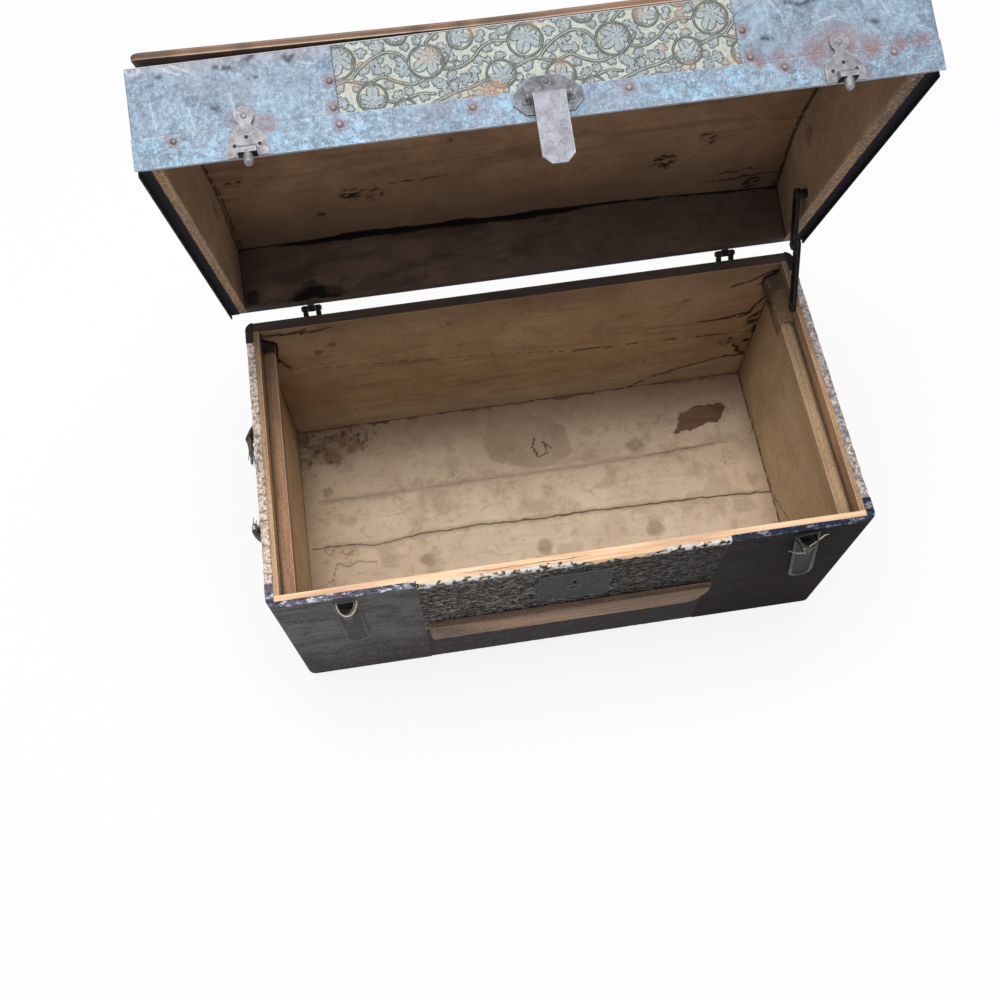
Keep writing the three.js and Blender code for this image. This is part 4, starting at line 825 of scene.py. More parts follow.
relief("floor_lining", "case", FLOOR_PAPER, steps(*CASE_WIDE, 2.8),
       steps(*CASE_DEEP, 1.15), flat(2, FLOOR_TOP, 1), floor_height,
       {"stain_and_shade": floor_stains_and_lid_shadow, "crack": floor_crack}, torn_floor, rim=0.7)

# Case walls: paper that cracks at the boards' joint and peels in the corner
BACK_JOINT = [(-368, 210), (-262, 199), (-142, 186), (-19, 173), (75, 157), (170, 153), (266, 149),
              (385, 143)]
TEAR = [(192, 16), (236, 43), (300, 63), (352, 75), (398, 75)]
PEEL = [(386, 200), (366, 178), (372, 150), (352, 130), (322, 122), (356, 108), (378, 70), (390, 66)]
CORNER_CRACKS = [[(386, 300), (368, 292), (350, 280), (322, 274)], [(384, 286), (366, 268)],
                 [(386, 236), (372, 214), (366, 196), (352, 186)], [(368, 196), (330, 190), (290, 188)],
                 [(-386, 306), (-350, 303), (-322, 309)], [(-384, 262), (-372, 236), (-360, 212)],
                 [(-330, 300), (-286, 304)]]
BACK_SPOTS = [(210, 92, 4), (-210, 88, 3), (255, 253, 5), (-113, 277, 4), (-312, 247, 9), (-290, 262, 7)]
SIDE_JOINT = [(209, 20), (167, 24), (118, 27), (22, 12), (-51, 26), (-105, 60), (-204, 74)]


def swelling(base, rise, size, seed, cracks=None, depth=0.5):
    """Height of a lining that swells in patches and sinks at its cracks."""
    def height(u, v):
        up = base + rise * (field(u, v, size, seed) - 0.4)
        return up - depth * cracks(u, v) if cracks else up
    return height


def back_crack(u, v):
    base = (1 - smooth(v - 14, 1.0, 3.0)) * smooth(ripple(u, 22, 85), 0.46, 0.54)
    layers = [(0.45 + 0.55 * smooth(u, 20, 80)) * crack(u, v, BACK_JOINT, 1.2, 81, 4, 0.3),
              crack(u, v, TEAR, 2.2, 82, 7, 0.3), 0.85 * base,
              0.9 * patch(u, v, PEEL, 83, 1.5, 14) * (field(u, v, 9, 84) > 0.52)]
    return most(layers + [crack(u, v, line, 2.6, 89 + k, 9, 0.25) for k, line in enumerate(CORNER_CRACKS)])


def back_stain(u, v):
    layers = [0.5 * patch(u, v, PEEL, 83, 6, 14), smooth(v, 250, 316) * (0.3 + 0.5 * field(u, v, 50, 87)),
              0.35 * smooth(field(u / 9, v, 9, 88), 0.5, 0.8), smooth(-u, 330, 390) * 0.4]
    return most(layers + [0.8 * blob(u, v, (x, z), r, 86) for x, z, r in BACK_SPOTS], 0.9)


def side_crack(u, v):
    foot = (1 - smooth(v - 14, 0.8, 2.6)) * smooth(ripple(u, 20, 96), 0.5, 0.58)
    return most([0.9 * crack(u, v, SIDE_JOINT, 1.0, 95, 7, 0.4), 0.8 * foot])


relief("back_lining", "case", WALL_PAPER, steps(*CASE_WIDE, 3), steps(LINING_LOW, 317.6, 3),
       flat(1, LONG_INNER - GAP, -1), swelling(0.6, 0.7, 40, 91, back_crack),
       {"stain_and_shade": back_stain, "crack": back_crack, "pale": lambda u, v: 0.2 * smooth(-v, -110, -20)},
       rim=0.5)
# The end-wall papers are paler low down and towards the front, as painted light; they are darker in
# patches, and towards the rear as painted shade
SIDE_MARKS = {
    "stain_and_shade": lambda u, v: np.clip(smooth(u, 150, 210) * 0.7 + 0.3 * field(u, v, 30, 98), 0, 0.8),
    "crack": side_crack, "pale": lambda u, v: 0.32 * smooth(-v, -150, -20) * smooth(-u, -120, 60)}
for side, sign in SIDES:
    relief(f"{side}_lining", "case", SIDE_PAPER, steps(*CASE_DEEP, 3.2),
           steps(LINING_LOW, 267, 3.2), flat(0, sign * (END_INNER - GAP), -sign),
           swelling(0.6, 0.6, 36, 97), SIDE_MARKS, rim=0.5)
relief("front_lining", "case", WALL_PAPER, steps(*CASE_WIDE, 5), steps(LINING_LOW, 316, 5),
       flat(1, -LONG_INNER + GAP, 1), swelling(0.6, 0.7, 40, 99), {"stain_and_shade": back_stain}, rim=0.5)

# Loose lining that sags over the rear ends of the tray cleats
SAG = [(387.3, 305), (385.5, 299), (380, 294.5), (373, 291.5), (369.2, 287), (368.6, 276), (370, 266),
       (378, 259), (386.6, 254)]


def unit(vectors):
    return vectors / np.linalg.norm(vectors, axis=-1, keepdims=True)


def sagging(sign):
    def at(u, s):
        t = np.linspace(0, 1, len(SAG))
        swell = 5.0 * (field(u, s * 40, 17, 191) - 0.5) * np.sin(np.pi * s)
        out, up = (np.interp(s, t, [p[k] for p in SAG]) for k in (0, 1))
        points = np.stack([sign * (out - np.abs(swell)), u, up + swell], -1)
        return points, unit(np.stack([-sign * np.ones_like(u), u * 0, 0.6 * np.ones_like(u)], -1))
    return at


def corner_crack(u, s):
    folds = smooth(np.abs(field(u, s * 30, 34, 193) - 0.5), 0.022, 0.0) * (u > 150)
    return np.clip(folds + (1 - smooth(204 - u, 2, 7)), 0, 1)


def corner_stain(u, s):
    return np.clip(smooth(u, 110, 185) * (0.35 + 0.5 * field(u, s * 60, 14, 194)), 0, 0.9)


for (side, sign), start, paper in zip(SIDES, (172, 104), (CORNER_DARK, CORNER_PALE)):
    relief(f"{side}_corner_paper", "case", paper, steps(start, 204.3, 1.6),
           steps(0, 1, 1 / 44), sagging(sign), lambda u, s: 0.5 * (field(u, s * 60, 5, 192) - 0.5),
           {"crack": corner_crack, "stain_and_shade": corner_stain},
           lambda u, s: u < start + 16 * ripple(s * 60, 7, 195) + 3, rim=0.6)

# Lid lining: back wall, ceiling curved down to it, and ends
CEILING_EDGE = [(-399, 409), (-224, 410), (-103, 409), (7, 407), (112, 408), (205, 407), (329, 402),
                (393, 400)]
LID_SPOTS = [(165, 209, 6), (207, 213, 5), (226, 212, 6), (212, 129, 12), (268, 93, 9), (-272, 155, 5),
             (-224, 117, 10), (-191, 123, 9), (350, 190, 9), (-370, 60, 7), (60, 70, 5), (-90, 20, 5)]
CEILING_LINES = [[(-395, -190), (-396, 0), (-394, 120), (-392, 200)],
                 [(-236, 118), (-170, 106), (-90, 100)],
                 [(392, -200), (391, -20), (390, 120), (389, 204)], [(280, 182), (340, 176), (388, 174)],
                 [(300, 168), (352, 162)]]
DOME_MID, DOME_R, DOME_CZ = -3.6, 973.6, -534.8
LID_WIDE = (LID_LEFT + 0.4, LID_RIGHT - 0.4)


def ceiling_edge(u):
    return np.interp(u, [p[0] for p in CEILING_EDGE], [p[1] for p in CEILING_EDGE])


def ceiling_place(u, s):
    """s runs from the front of the ceiling to its rear edge, which comes down to the back wall."""
    def arc(y):
        return DOME_CZ + np.sqrt((DOME_R - 0.6) ** 2 - (y - DOME_MID) ** 2)
    z = arc(s) - (arc(LID_BACK) - ceiling_edge(u)) * smooth(s, 60, 204) ** 1.2
    slope = np.gradient(z, axis=1) / np.maximum(np.gradient(s, axis=1), 1e-6)
    return np.stack([u, s, z], -1), unit(np.stack([np.zeros_like(u), slope, -np.ones_like(u)], -1))


def ceiling_crack(u, s):
    gap = 1.6 + (1.2 + 3.4 * smooth(ripple(u, 40, 101), 0.35, 0.65)) * smooth(u, -290, -250) * (u < 170)
    flecks = smooth(field(u, s * 2.2, 7, 102), 0.48, 0.56)
    corner = smooth(u, 372, 392) * (field(u, s, 14, 104) > 0.5) * smooth(s, 140, 200)
    layers = [1 - smooth(LID_BACK - s, gap, gap + 1.6), 0.8 * corner]
    layers += [0.95 * flecks * blob(u, s, (x, y), 1.8 * r, 103) for x, y, r in LID_SPOTS]
    layers += [0.9 * crack(u, s, line, 1.8, 106 + k, 8, 0.42) for k, line in enumerate(CEILING_LINES)]
    return most(layers)


def ceiling_stain(u, s):
    seam = crack(u, s, [(-400, 150), (-190, 146), (60, 150), (393, 140)], 2.5, 105, 8, 0.45)
    return most([0.75 * smooth(s, 60, 205), 0.4 * seam,
                 0.35 * smooth(field(u / 8, s, 12, 106), 0.5, 0.75)], 0.9)


relief("lid_ceiling_lining", "lid", LID_PAPER, steps(*LID_WIDE, 2.6),
       steps(-211, LID_BACK - 0.6, 2.0), ceiling_place, swelling(0.9, 0.6, 40, 107, ceiling_crack),
       {"stain_and_shade": ceiling_stain, "crack": ceiling_crack}, shut=True, rim=0.6)


def lid_back_stain(u, v):
    peel = patch(u, v, [(-350, 320), (-318, 340), (-300, 350), (-280, 342), (-240, 322)], 112, 4, 12)
    return most([smooth(field(u / 3, v, 18, 111), 0.5, 0.75) * 0.5, peel, 0.5 * smooth(-u, 352, 396),
                 0.45 * smooth(u, -60, 260)], 0.95)


def lid_back_crack(u, v):
    thick = 1.5 + 4.5 * smooth(u, -340, -290) * (1 - smooth(u, 40, 140))
    gap = 1 - smooth(ceiling_edge(u) - v + (field(u, v, 16, 113) - 0.5) * 4, thick, thick + 1.5)
    peel = [(-330, 322), (-318, 334), (-302, 344), (-286, 338), (-278, 326), (-262, 321)]
    square = [(-396, 326), (-396, 345), (-378, 345), (-378, 326)]
    return most([gap, patch(u, v, peel, 114, 1.5, 12), patch(u, v, square, 115, 1.5, 4) * 0.7])


def lid_end_crack(u, s):
    return 0.9 * (1 - smooth((1 - s) * 110, 1.2, 3.2)) * smooth(field(u, s * 100, 15, 118), 0.36, 0.5)


def lid_end_stain(u, s):
    return np.clip(0.6 * smooth(u, 120, 205) + 0.5 * blob(u, s * 110, (60, 78), 14, 119), 0, 0.8)


relief("lid_back_lining", "lid", LID_BACK_PAPER, steps(*LID_WIDE, 3),
       steps(RIM_Z + 0.6, 411, 2.2), flat(1, LID_BACK - GAP, -1),
       swelling(0.8, 0.6, 34, 116, lid_back_crack, 0.4),
       {"stain_and_shade": lid_back_stain, "crack": lid_back_crack}, shut=True, rim=0.4)
for (side, sign), x in zip(SIDES, (LID_LEFT, LID_RIGHT)):
    def end_place(u, s):
        ceiling = ceiling_place(np.full_like(u, x), u)[0][..., 2]
        z = RIM_Z + 0.6 + (ceiling - RIM_Z - 1.2) * s
        points = np.stack([np.full_like(u, x - sign * GAP), u, z], -1)
        return points, np.broadcast_to(np.array([-float(sign), 0, 0]), points.shape)
    relief(f"lid_{side}_end_lining", "lid", LID_END_PAPER, steps(-211.5, LID_BACK - 0.5, 3.5),
           steps(0, 1, 1 / 32), end_place, lambda u, s: swelling(0.4, 0.6, 34, 117)(u, s * 100),
           {"crack": lid_end_crack, "stain_and_shade": lid_end_stain}, shut=True, rim=0.4)
relief("lid_front_lining", "lid", LID_PAPER, steps(*LID_WIDE, 6),
       steps(RIM_Z + 0.6, 411, 6), flat(1, LID_FRONT + GAP, 1), swelling(0.4, 0.5, 34, 120),
       shut=True, rim=0.4)

# Embossed tins; each shift says where the pattern starts
LID_FACE_TOP = 422.8
LID_SHIFT, FRONT_SHIFT, END_SHIFT = (-195, 346.8), (-180, 4), (-170, 8)


def vine(table, shift):
    return lambda u, s: tiled(table, u - shift[0], s - shift[1])


lid_marks = {"leaf": vine(VINE_LEAF, LID_SHIFT), "line": vine(VINE_LINE, LID_SHIFT),
             "rust": lambda u, s: np.clip(0.5 * blob(u, s, (-50, 352), 14, 121)
                                          + 0.3 * smooth(field(u, s, 22, 122), 0.62, 0.8), 0, 0.5)}
relief("lid_tin_relief", "lid", LID_TIN, steps(-210, 210, 0.7),
       steps(BAND_TOP + 0.3, LID_FACE_TOP, 0.7), flat(1, LID_TIN_Y, -1), vine(VINE, LID_SHIFT),
       lid_marks, replaces=("lid_front_tin_panel",), shut=True, rim=0.5)

DENTS = [[(-330, 101), (-318, 98), (-304, 101), (-292, 108)], [(-278, 112), (-266, 113)],
         [(-259, 104), (-255, 98), (-250, 104)], [(-296, 85), (-290, 84)], [(-391, 99), (-387, 97)],
         [(-337, 57), (-332, 56)], [(268, 96), (282, 92), (297, 95)], [(330, 104), (344, 101)],
         [(236, 60), (246, 57)], [(352, 66), (360, 62)]]
SCRATCHES = [[(-382, 104), (-366, 97)], [(-376, 108), (-358, 99)], [(-362, 60), (-356, 30)],
             [(-318, 70), (-314, 32)], [(-400, 70), (-396, 40)], [(-246, 96), (-230, 92)],
             [(250, 100), (262, 80)], [(300, 70), (316, 74)], [(364, 94), (374, 70)]]
CORNER_RING = (-414, 109)


def zinc_dents(u, s):
    return np.maximum.reduce([np.exp(-(to_line(u, s - SKIRT_Z, line) / 3.0) ** 2) for line in DENTS])


def zinc_ring(u, s):
    away = np.hypot(u - CORNER_RING[0], s - SKIRT_Z - CORNER_RING[1])
    return np.exp(-((away - 7.0) / 1.3) ** 2)


def zinc_height(u, s):
    return 0.4 * (field(u, s, 38, 171) - 0.3) - 0.65 * zinc_dents(u, s) + 0.5 * zinc_ring(u, s)


def zinc_scratches(u, s):
    layers = [0.35 * crack(u, s - SKIRT_Z, line, 1.1, 172 + k, 3, 0.2) for k, line in enumerate(SCRATCHES)]
    return most(layers + [0.4 * zinc_ring(u, s)])


# The zinc's dents are darkened as painted shade in them
ZINC_MARKS = {
    "pale": zinc_scratches,
    "stain_and_shade": lambda u, s: np.clip(1.1 * zinc_dents(u, s) * smooth(field(u, s, 5, 181), 0.2, 0.5), 0, 1)}
for side, low, high in (("left", -422.1, -210.4), ("right", 210.4, 422.1)):
    relief(f"zinc_{side}_relief", "lid", ZINC, steps(low, high, 1.6),
           steps(BAND_TOP + 0.3, LID_FACE_TOP, 1.25), flat(1, ZINC_Y, -1), zinc_height, ZINC_MARKS,
           replaces=(f"lid_front_sheet_{side}",), shut=True, rim=0.6)


def front_tear(u, s):
    """The folded edge of the front tin, ragged and partly torn off the rim."""
    lost = smooth(u, 5, 30) * (1 - smooth(u, 92, 118)) * 16 + 3
    edge = 324.5 - lost * (0.2 + ripple(u, 9, 131)) - 3 * ripple(u, 31, 130)
    return s > edge + 7 * (field(u, s, 5, 132) - 0.5)


def front_line_and_slat_shadow(u, s):
    """The pattern's lines, and a painted shadow along the slat's upper edge."""
    above = smooth(3.6 - np.abs(s - 168), 0, 2.4) * smooth(209 - np.abs(u - 3), 0, 3)
    return np.maximum(vine(VINE_LINE, FRONT_SHIFT)(u, s), above)


front_marks = {
    "leaf": vine(VINE_LEAF, FRONT_SHIFT), "line": front_line_and_slat_shadow,
    "pale": lambda u, s: smooth(s, 304, 313) * smooth(field(u, s, 5, 133), 0.42, 0.56) * 0.9,
    "stain_and_shade": lambda u, s: np.clip(0.4 * smooth(field(u, s, 30, 134), 0.5, 0.7), 0, 0.5)}
relief("front_tin_relief", "case", FRONT_TIN, steps(-210, 210, 1.4),
       steps(0.5, 325, 1.4), folded(CASE_TIN_FRONT, 1, -1, 1.6),
       lambda u, s: (0.25 + 0.75 * smooth(s, 108, 122)) * vine(VINE, FRONT_SHIFT)(u, s),
       front_marks, front_tear, replaces=("front_tin_panel",), rim=0.5)
end_marks = {"leaf": vine(VINE_LEAF, END_SHIFT), "line": vine(VINE_LINE, END_SHIFT),
             "stain_and_shade": lambda u, s: np.clip(0.6 * smooth(field(u, s, 14, 141), 0.55, 0.7), 0, 0.7)}
for side, sign in SIDES:
    relief(f"{side}_tin_relief", "case", END_TINS[side], steps(-186.8, 186.8, 1.9),
           steps(0.5, 328.5, 1.9), folded(CASE_TIN_END, 0, sign, 1.8), vine(VINE, END_SHIFT), end_marks,
           replaces=(f"{side}_end_tin",), rim=0.6)


def tube(rings, sides, base):
    """Faces between rings of points that follow each other."""
    return [(low + k, low + (k + 1) % sides, low + sides + (k + 1) % sides, low + sides + k)
            for low in range(base, base + (rings - 1) * sides, sides) for k in range(sides)]


# Round heads of nails and rivets: the share of radius and of height at each ring
HEAD_RINGS, HEAD_SIDES = ((1.0, -0.1), (1.0, 0.25), (0.82, 0.7), (0.45, 0.95)), 14


def heads(name, body, material, spots, shut=False):
    """Heads gathered into one piece; each has its spot, normal, radius and height."""
    points, faces = [], []
    for spot, normal, radius, height in spots:
        n = Vector(normal).normalized()
        a = n.orthogonal().normalized()
        b = n.cross(a)
        base = len(points)
        last = base + (len(HEAD_RINGS) - 1) * HEAD_SIDES
        for out, up in HEAD_RINGS:
            for k in range(HEAD_SIDES):
                turned = 2 * math.pi * k / HEAD_SIDES
                arm = (a * math.cos(turned) + b * math.sin(turned)) * radius * out
                points.append(Vector(spot) + arm + n * (height * up))
        points.append(Vector(spot) + n * height)
        faces += tube(len(HEAD_RINGS), HEAD_SIDES, base)
        faces += [(last + k, last + (k + 1) % HEAD_SIDES, len(points) - 1) for k in range(HEAD_SIDES)]
        faces.append(tuple(base + k for k in reversed(range(HEAD_SIDES))))
    co = np.array([tuple(p) for p in points])
    return placed(mesh_object(name, co, faces, material, shut), body)


def reworked(name, node, cuts, move, stain_and_shade, material, body, soft, shut=False):
    """A copy of a packed bar of wood, cut across into short lengths, then moved point by point."""
    work = bmesh.new()
    work.from_mesh(NODES[node].data)
    for x in cuts:
        bmesh.ops.bisect_plane(work, geom=work.verts[:] + work.edges[:] + work.faces[:],
                               plane_co=(x * MM, 0, 0), plane_no=(1, 0, 0))
    co = np.array([tuple(v.co) for v in work.verts]) / MM
    co = move(opened(co, True) if shut else co)
    for v, spot in zip(work.verts, opened(co) if shut else co):
        v.co = spot * MM
    mesh = bpy.data.meshes.new(name)
    work.to_mesh(mesh)
    work.free()
    obj = linked(name, mesh, material)
    marked(obj, "stain_and_shade", stain_and_shade(co))
    soften(obj, soft, 3)
    return placed(obj, body, (node,))


# Dome slat at the front, sprung up at its left end; worn slat across the front
def sprung(co):
    lift = 0.8 + 7.5 * np.clip((-40 - co[:, 0]) / 375, 0, 1) ** 1.2
    wave = 0.8 * (ripple(co[:, 0], 70, 161) - 0.5)
    return co + np.stack([co[:, 0] * 0, wave, lift], 1)


def tapered(co):
    """The right end is cut to a slant and the edges are worn uneven."""
    x, y, z = co.T
    share = np.clip((z - 113) / 53, 0, 1)
    rise = 40 * smooth(x, 184, 211) ** 1.3 * (1 - share)
    wear = 2.4 * (ripple(x, 38, 162) - 0.5) * (share > 0.5) + 2.0 * (ripple(x, 26, 163) - 0.5)
    return np.stack([x, y, z + rise + wear], 1)


def rounded(co):
    """The ends of a slat are worn round."""
    middle = co[:, 1:].mean(0)
    past = np.clip((np.abs(co[:, 0]) - 405) / 10.2, 0, 1)
    share = 0.55 + 0.45 * np.sqrt(1 - past ** 2)
    return np.concatenate([co[:, :1], middle + (co[:, 1:] - middle) * share[:, None]], 1)


def dome_slat_stain(co):
    return np.clip(smooth(field(co[:, 0], co[:, 1], 30, 164), 0.6, 0.8), 0, 0.5)


def front_slat_stain(co):
    return np.maximum(0.6 * smooth(co[:, 2], 157, 165), 0.38 * smooth(co[:, 0], -40, 180))


SLAT_ENDS = [406, 408.5, 410.5, 412.3, 413.7, 414.7]
slat_cuts = list(np.linspace(-405, 405, 55)) + SLAT_ENDS + [-x for x in SLAT_ENDS]
slats = [reworked(f"dome_slat_{place}_worn", f"dome_slat_{place}", slat_cuts, move, dome_slat_stain,
                  LID_SLAT, "lid", soft, True)
         for place, move, soft in (("front", lambda co: sprung(rounded(co)), 3.2), ("second", rounded, 1.8),
                                   ("third", rounded, 1.8), ("rear", rounded, 1.8))]
front_slat = reworked("front_slat_worn", "front_slat", np.linspace(-198, 206, 60), tapered,
                      front_slat_stain, SLAT, "case", 3.0)


def bars(name, body, material, runs, square=1.0, sides=8, replaces=(), shut=False):
    """Closed bars as one piece: each station has its middle and the two arms of its cross-section."""
    turned = np.linspace(0, 2 * math.pi, sides, endpoint=False)
    c, d = (np.sign(f) * np.abs(f) ** square for f in (np.cos(turned), np.sin(turned)))
    rings, faces = [], []
    for stations in runs:
        base, last = ((len(rings) + k) * sides for k in (0, len(stations) - 1))
        rings += [np.asarray(m, float) + np.outer(c, a) + np.outer(d, b) for m, a, b in stations]
        rows = tube(len(stations), sides, base)
        rows += [tuple(range(base, base + sides))[::-1], tuple(range(last, last + sides))]
        m, a, b = stations[0]
        if np.dot(np.cross(a, b), np.subtract(stations[1][0], m)) < 0:
            rows = [row[::-1] for row in rows]
        faces += rows
    obj = mesh_object(name, np.concatenate(rings), faces, material, shut)
    return placed(obj, body, replaces)


def thread(points, radius, end=1.0):
    """Stations of a round bar along points, its radius falling to a share of it at the end."""
    points = np.asarray(points, float)
    stations = []
    for i, point in enumerate(points):
        ahead = unit(points[min(i + 1, len(points) - 1)] - points[max(i - 1, 0)])
        a = unit(np.cross(ahead, (0.31, 0.17, 0.93)))
        r = radius * (1 + (end - 1) * i / (len(points) - 1))
        stations.append((point, a * r, np.cross(ahead, a) * r))
    return stations


# Leather handle on the right, and what is left of the other one
WALL, BOW, THICK = 406.8, 20.0, 6.0
HANDLE_HALF, CAP_Y, HANDLE_Z, STRAP_HALF = 94.0, 100.0, 242.0, 15.0
STRAP_END = 116.0


def strap_out(y):
    return BOW * math.cos(max(-1, min(1, y / HANDLE_HALF)) * math.pi / 2) ** 2


def strap_run(sign, place, ys, droop=lambda share: 0.0, taper=lambda share: 1.0):
    """Stations of a flat strap; place gives its outset from the wall at each y."""
    run = []
    for i, y in enumerate(ys):
        share = i / (len(ys) - 1)
        half = STRAP_HALF * taper(share) * (0.985 + 0.03 * math.sin(y * 0.7))
        thick = THICK / 2 * (0.92 + 0.08 * math.sin(y * 0.31))
        out = unit(np.array([sign, place(y - 0.5) - place(y + 0.5), 0.0]))
        middle = (sign * (WALL + place(y) + THICK / 2), y, HANDLE_Z - droop(share))
        run.append((middle, np.array([0, 0, half]), out * thick))
    return run


def stitch(y, row):
    """A short thread on the right strap, in the upper or lower row."""
    z = HANDLE_Z + row * (STRAP_HALF - 3.2)
    return thread([(WALL + strap_out(y + d) + THICK - 0.15, y + d, z) for d in (-2, -0.7, 0.7, 2)], 0.75)


whole = strap_run(1, strap_out, np.linspace(-STRAP_END, STRAP_END, 90))
bars("handle_right_strap", "case", LEATHER, [whole], 0.42, 24, ("handle_right",))
bars("handle_right_stitches", "case", THREAD,
     [stitch(y, row) for y in np.arange(-74, 75, 6.5) for row in (-1, 1)], sides=6)


def torn_stub(name, node, cap, toward, length, seed):
    """A stub in its cap that springs away from the wall and ends in hanging, frayed strands."""
    def out(y):
        share = max(0.0, min(1.0, ((y - cap) * toward - 5) / (length - 8)))
        return 22 * share * (2 - share)
    ys = np.linspace(cap - toward * 16, cap + toward * length * 0.62, 26)
    stub = strap_run(-1, out, ys, lambda share: 7 * max(0.0, share - 0.3) ** 1.5,
                     lambda share: 1.0 - 0.28 * max(0.0, share - 0.5))
    bars(name, "case", LEATHER, [stub], 0.42, 20, (node,))
    rng = np.random.RandomState(seed)
    start = cap + toward * length * 0.52
    strands = []
    for k in range(17):
        z = HANDLE_Z - 5 + (k / 16 - 0.5) * 22 + rng.uniform(-1, 1)
        x = -(WALL + out(start) + THICK / 2 + rng.uniform(-1.8, 1.8))
        reach = length * rng.uniform(0.4, 0.78)
        sag, away = rng.uniform(4, 26), rng.uniform(-5, 5)
        line = [(x - away * t - 1.2 * math.sin(5 * t + k), start + toward * reach * t,
                 z - sag * t * t + 1.6 * math.sin(4 * t + 2 * k)) for t in np.linspace(0, 1, 9)]
        strands.append(thread(line, rng.uniform(0.9, 1.9), 0.25))
    bars(name + "_strands", "case", FRAYED, strands, sides=7)


torn_stub("handle_left_rear_stub", "handle_stub_rear", CAP_Y, -1, 48, 3)
torn_stub("handle_left_front_stub", "handle_stub_front", -CAP_Y, 1, 40, 5)

# Rubbed edges of the dowel sockets: the cup's lip on the left, a bent wire on the right, and the plates'
# outlines, whose lighter iron is rubbed metal and a painted highlight
SOCKET_Y, SOCKET_TOP, SOCKET_LOW, SOCKET_HALF = -223.6, 306, 148, 14.5


def socket_rim(name, x, lean, radius):
    """The round-ended outline of a socket's plate."""
    low = [(SOCKET_HALF * math.cos(t), SOCKET_LOW - SOCKET_TOP + SOCKET_HALF + SOCKET_HALF * math.sin(t))
           for t in np.linspace(math.pi, 2 * math.pi, 17)]
    outline = [(x + a * math.cos(lean) - b * math.sin(lean), SOCKET_Y,
                SOCKET_TOP + a * math.sin(lean) + b * math.cos(lean))
               for a, b in [(-SOCKET_HALF, -14)] + low + [(SOCKET_HALF, -14)]]
    bars(name, "case", RUBBED_AND_HIGHLIT, [thread(outline, radius)])


lip = [(-304 + 13.5 * math.cos(t), -222.5 - 20.4 * math.sin(t), 306.2) for t in np.linspace(0, math.pi, 24)]
wire = [(300, -226, 262), (304, -236, 276), (309, -243, 292), (306, -241, 301), (314, -238, 298),
        (326, -233, 303), (336, -228, 308), (343, -226, 305)]
bars("dowel_socket_left_lip", "case", LIP, [thread(lip, 0.95)])
socket_rim("dowel_socket_left_rim", -307, 0, 1.1)
socket_rim("dowel_socket_right_rim", 315, 0.19, 2.5)
bars("dowel_socket_right_wire", "case", LIP, [thread(wire, 1.1, 0.6)])

heads("lid_rivets", "lid", RIVET_IRON,
      [((x, LID_FACE if z > 34 else -229.0, SKIRT_Z + z), (0, -1, 0), 3.6, 2.2) for x, z in RIVETS], True)
# Black discs over the dowel plates' holes: painted shade inside the holes
heads("dowel_plate_hole_shade", "lid", BLACK,
      [((x + a, -229.05, SKIRT_Z + rise), (0, -1, 0), 2.9, 0.3)
       for _, x in SOCKETS for a, rise in ((0, 20), (-12.8, 11.5), (12.8, 11.5))], True)
# Black blocks under the dowel lugs stand for the painted shadow beneath them
for side, x in SOCKETS:
    lug_shadow = [((x + a, LUG_Y, SKIRT_Z - 0.5), (0, 4.9, 0), (0, 0, 0.6)) for a in (-9.8, -4, 4, 9.8)]
    bars(f"dowel_lug_{side}_painted_shadow", "lid", BLACK, [lug_shadow], 0.1, shut=True)


# Nails of the slats, bands, back, ends, hinges and caps, in rows
def nailed(rows, radius, height):
    """Heads where lines from outside meet a mesh: each row has its object, starts and direction."""
    found = []
    for obj, starts, ahead in rows:
        tree = BVHTree.FromPolygons([v.co / MM for v in obj.data.vertices],
                                    [tuple(p.vertices) for p in obj.data.polygons])
        for start in starts:
            place, normal, _, _ = tree.ray_cast(Vector(start), Vector(ahead))
            if place is not None:
                found.append((place, normal, radius, height))
    return found


def shut_rows(node, starts, ahead):
    """A row whose starts and direction are those of the shut lid."""
    starts = np.asarray(starts, float)
    turned = opened(starts)
    return NODES[node], turned, opened(starts[:1] + ahead)[0] - turned[0]


HINGE_X, LID_MIDDLE = 308, Vector((0, 150, 560))
lid_y = np.linspace(-196, 186, 8), np.linspace(-196, 186, 11)
rows = []
for slat in slats:
    middle = Vector(np.mean([tuple(v.co / MM) for v in slat.data.vertices], 0))
    outer = [p for p in slat.data.polygons if p.normal.dot(middle - LID_MIDDLE) > 0]
    out = max(outer, key=lambda p: p.area).normal.copy()
    rows.append((slat, [middle + out * 30 + Vector((x, 0, 0)) for x in np.linspace(-396, 396, 10)], -out))
lid_nails = nailed(rows, 2.6, 1.0)
rows = [shut_rows(f"lid_band_{side}", [(sign * 440, y, SKIRT_Z + 10) for y in lid_y[0]], (-sign, 0, 0))
        for side, sign in SIDES]
rows += [shut_rows("lid_dome_sheet", [(sign * 418.6, y, 560) for y in lid_y[1]], (0, 0, -1))
         for _, sign in SIDES]
rows += [shut_rows(f"hinge_{side}_lid_leaf",
                   [(sign * HINGE_X + a, 300, z) for a in (-7, 7) for z in (350, 376)], (0, -1, 0))
         for side, sign in SIDES]
heads("lid_nails", "lid", NAIL, lid_nails + nailed(rows, 2.2, 1.0))

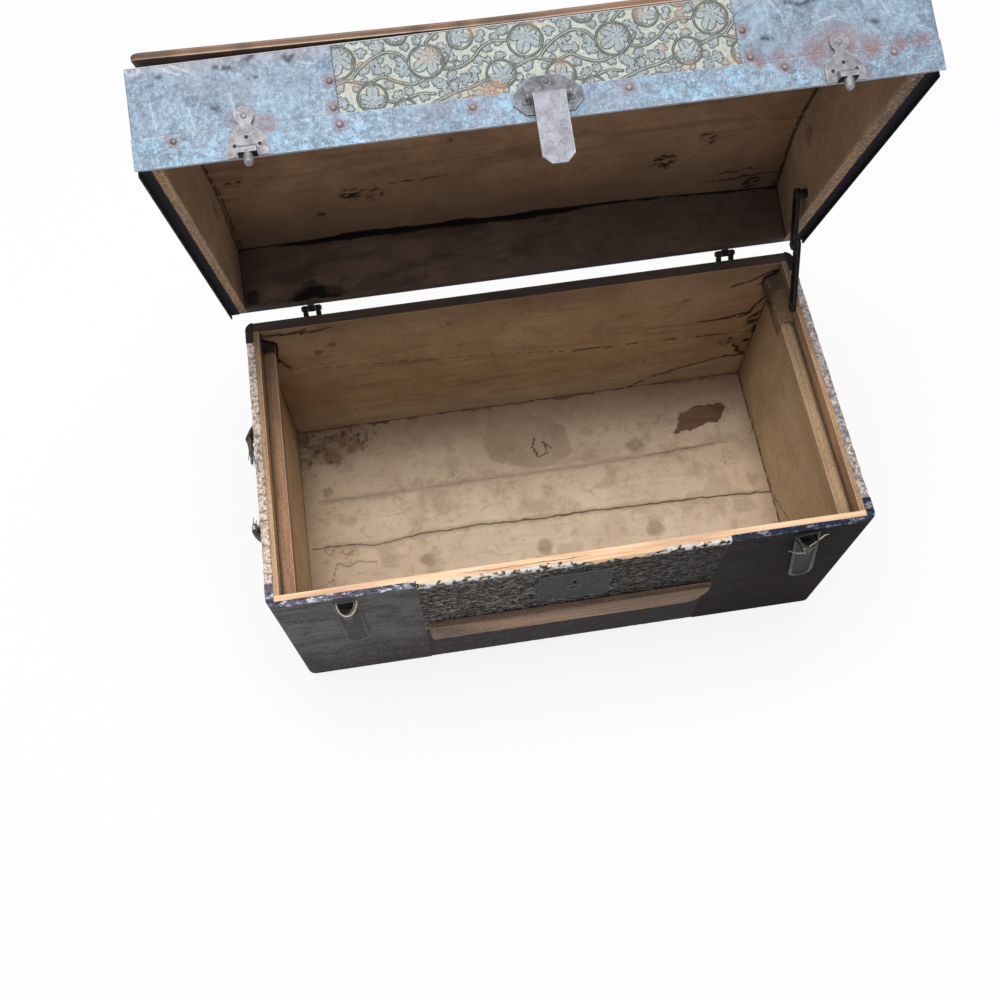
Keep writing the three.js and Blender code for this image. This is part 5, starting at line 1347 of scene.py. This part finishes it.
BACKWARD = (0, -1, 0)
rows = [(NODES["back_sheet"], [(x, 260, z) for x in (-396, -206, 206, 396) for z in range(20, 310, 40)],
         BACKWARD),
        (NODES["back_sheet"], [(x, 260, 12) for x in range(-350, 360, 70)], BACKWARD),
        (front_slat, [(x, -260, 138) for x in (-188, 4, 176)], (0, 1, 0))]
rows += [(NODES[f"hinge_{side}_case_leaf"],
          [(sign * HINGE_X + a, 260, z) for a in (-7, 7) for z in (260, 288)], BACKWARD)
         for side, sign in SIDES]
rows += [(NODES[f"handle_cap_{side}_{place}"],
          [(sign * 440, y * 114.3 + a, 242 + b) for a in (-12, 12) for b in (-17.5, 17.5)], (-sign, 0, 0))
         for side, sign in SIDES for place, y in (("front", -1), ("rear", 1))]
case_nails = nailed(rows, 2.2, 0.9)
edge = [(y, z) for y in (-181, 181) for z in range(18, 310, 48)] + [(y, 8) for y in range(-150, 160, 60)]
case_nails += [((sign * 406.6, y, z), (sign, 0, 0), 2.4, 1.2) for _, sign in SIDES for y, z in edge]
heads("case_nails", "case", NAIL, case_nails)


# Floor, backdrop and light
def whitened(tree, rays, share, lit, kind, end):
    """Plain white is mixed over what is lit, by a share, for rays of these kinds."""
    path = add(tree, "LightPath").outputs
    seen = path[rays[0]]
    for ray in rays[1:]:
        seen = add(tree, "Math", {0: seen, 1: path[ray]}, operation="MAXIMUM").outputs[0]
    seen = add(tree, "Math", {0: seen, 1: share}, operation="MULTIPLY").outputs[0]
    white = add(tree, kind, {"Color": (1, 1, 1, 1), "Strength": 1.0})
    mixed = add(tree, "MixShader", {0: seen, 1: lit.outputs[0], 2: white.outputs[0]})
    feed(tree, tree.nodes[end], {"Surface": mixed.outputs[0]})


bpy.ops.mesh.primitive_plane_add(size=14, location=(0, 0, 0))
floor = bpy.context.object
floor.name = "stage_floor"
ground = bpy.data.materials.new("stage_floor")
ground.use_nodes = True
diffuse = add(ground.node_tree, "BsdfDiffuse", {"Color": (0.88, 0.88, 0.88, 1)})
whitened(ground.node_tree, ("Is Camera Ray", "Is Glossy Ray", "Is Transmission Ray"), 0.82, diffuse,
         "Emission", "Material Output")
floor.data.materials.append(ground)
floor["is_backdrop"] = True

world = bpy.data.worlds.new("world")
bpy.context.scene.world = world
world.use_nodes = True
lit = world.node_tree.nodes["Background"]
feed(world.node_tree, lit, {"Color": (0.95, 0.97, 1, 1), "Strength": 0.66})
whitened(world.node_tree, ("Is Camera Ray", "Is Transmission Ray"), 1.0, lit, "Background", "World Output")

LIGHT, AIM = Vector((-0.25, 0.2, 3.0)), Vector((0.0, 0.0, 0.2))
lamp = bpy.data.lights.new("sky", "AREA")
lamp.size = 2.2
lamp.energy = 56
sky = bpy.data.objects.new("sky", lamp)
bpy.context.scene.collection.objects.link(sky)
sky.location = LIGHT
sky.rotation_euler = (AIM - LIGHT).to_track_quat("-Z", "Y").to_euler()
bpy.context.scene.view_settings.view_transform = "Standard"
size_after = plain(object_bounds())
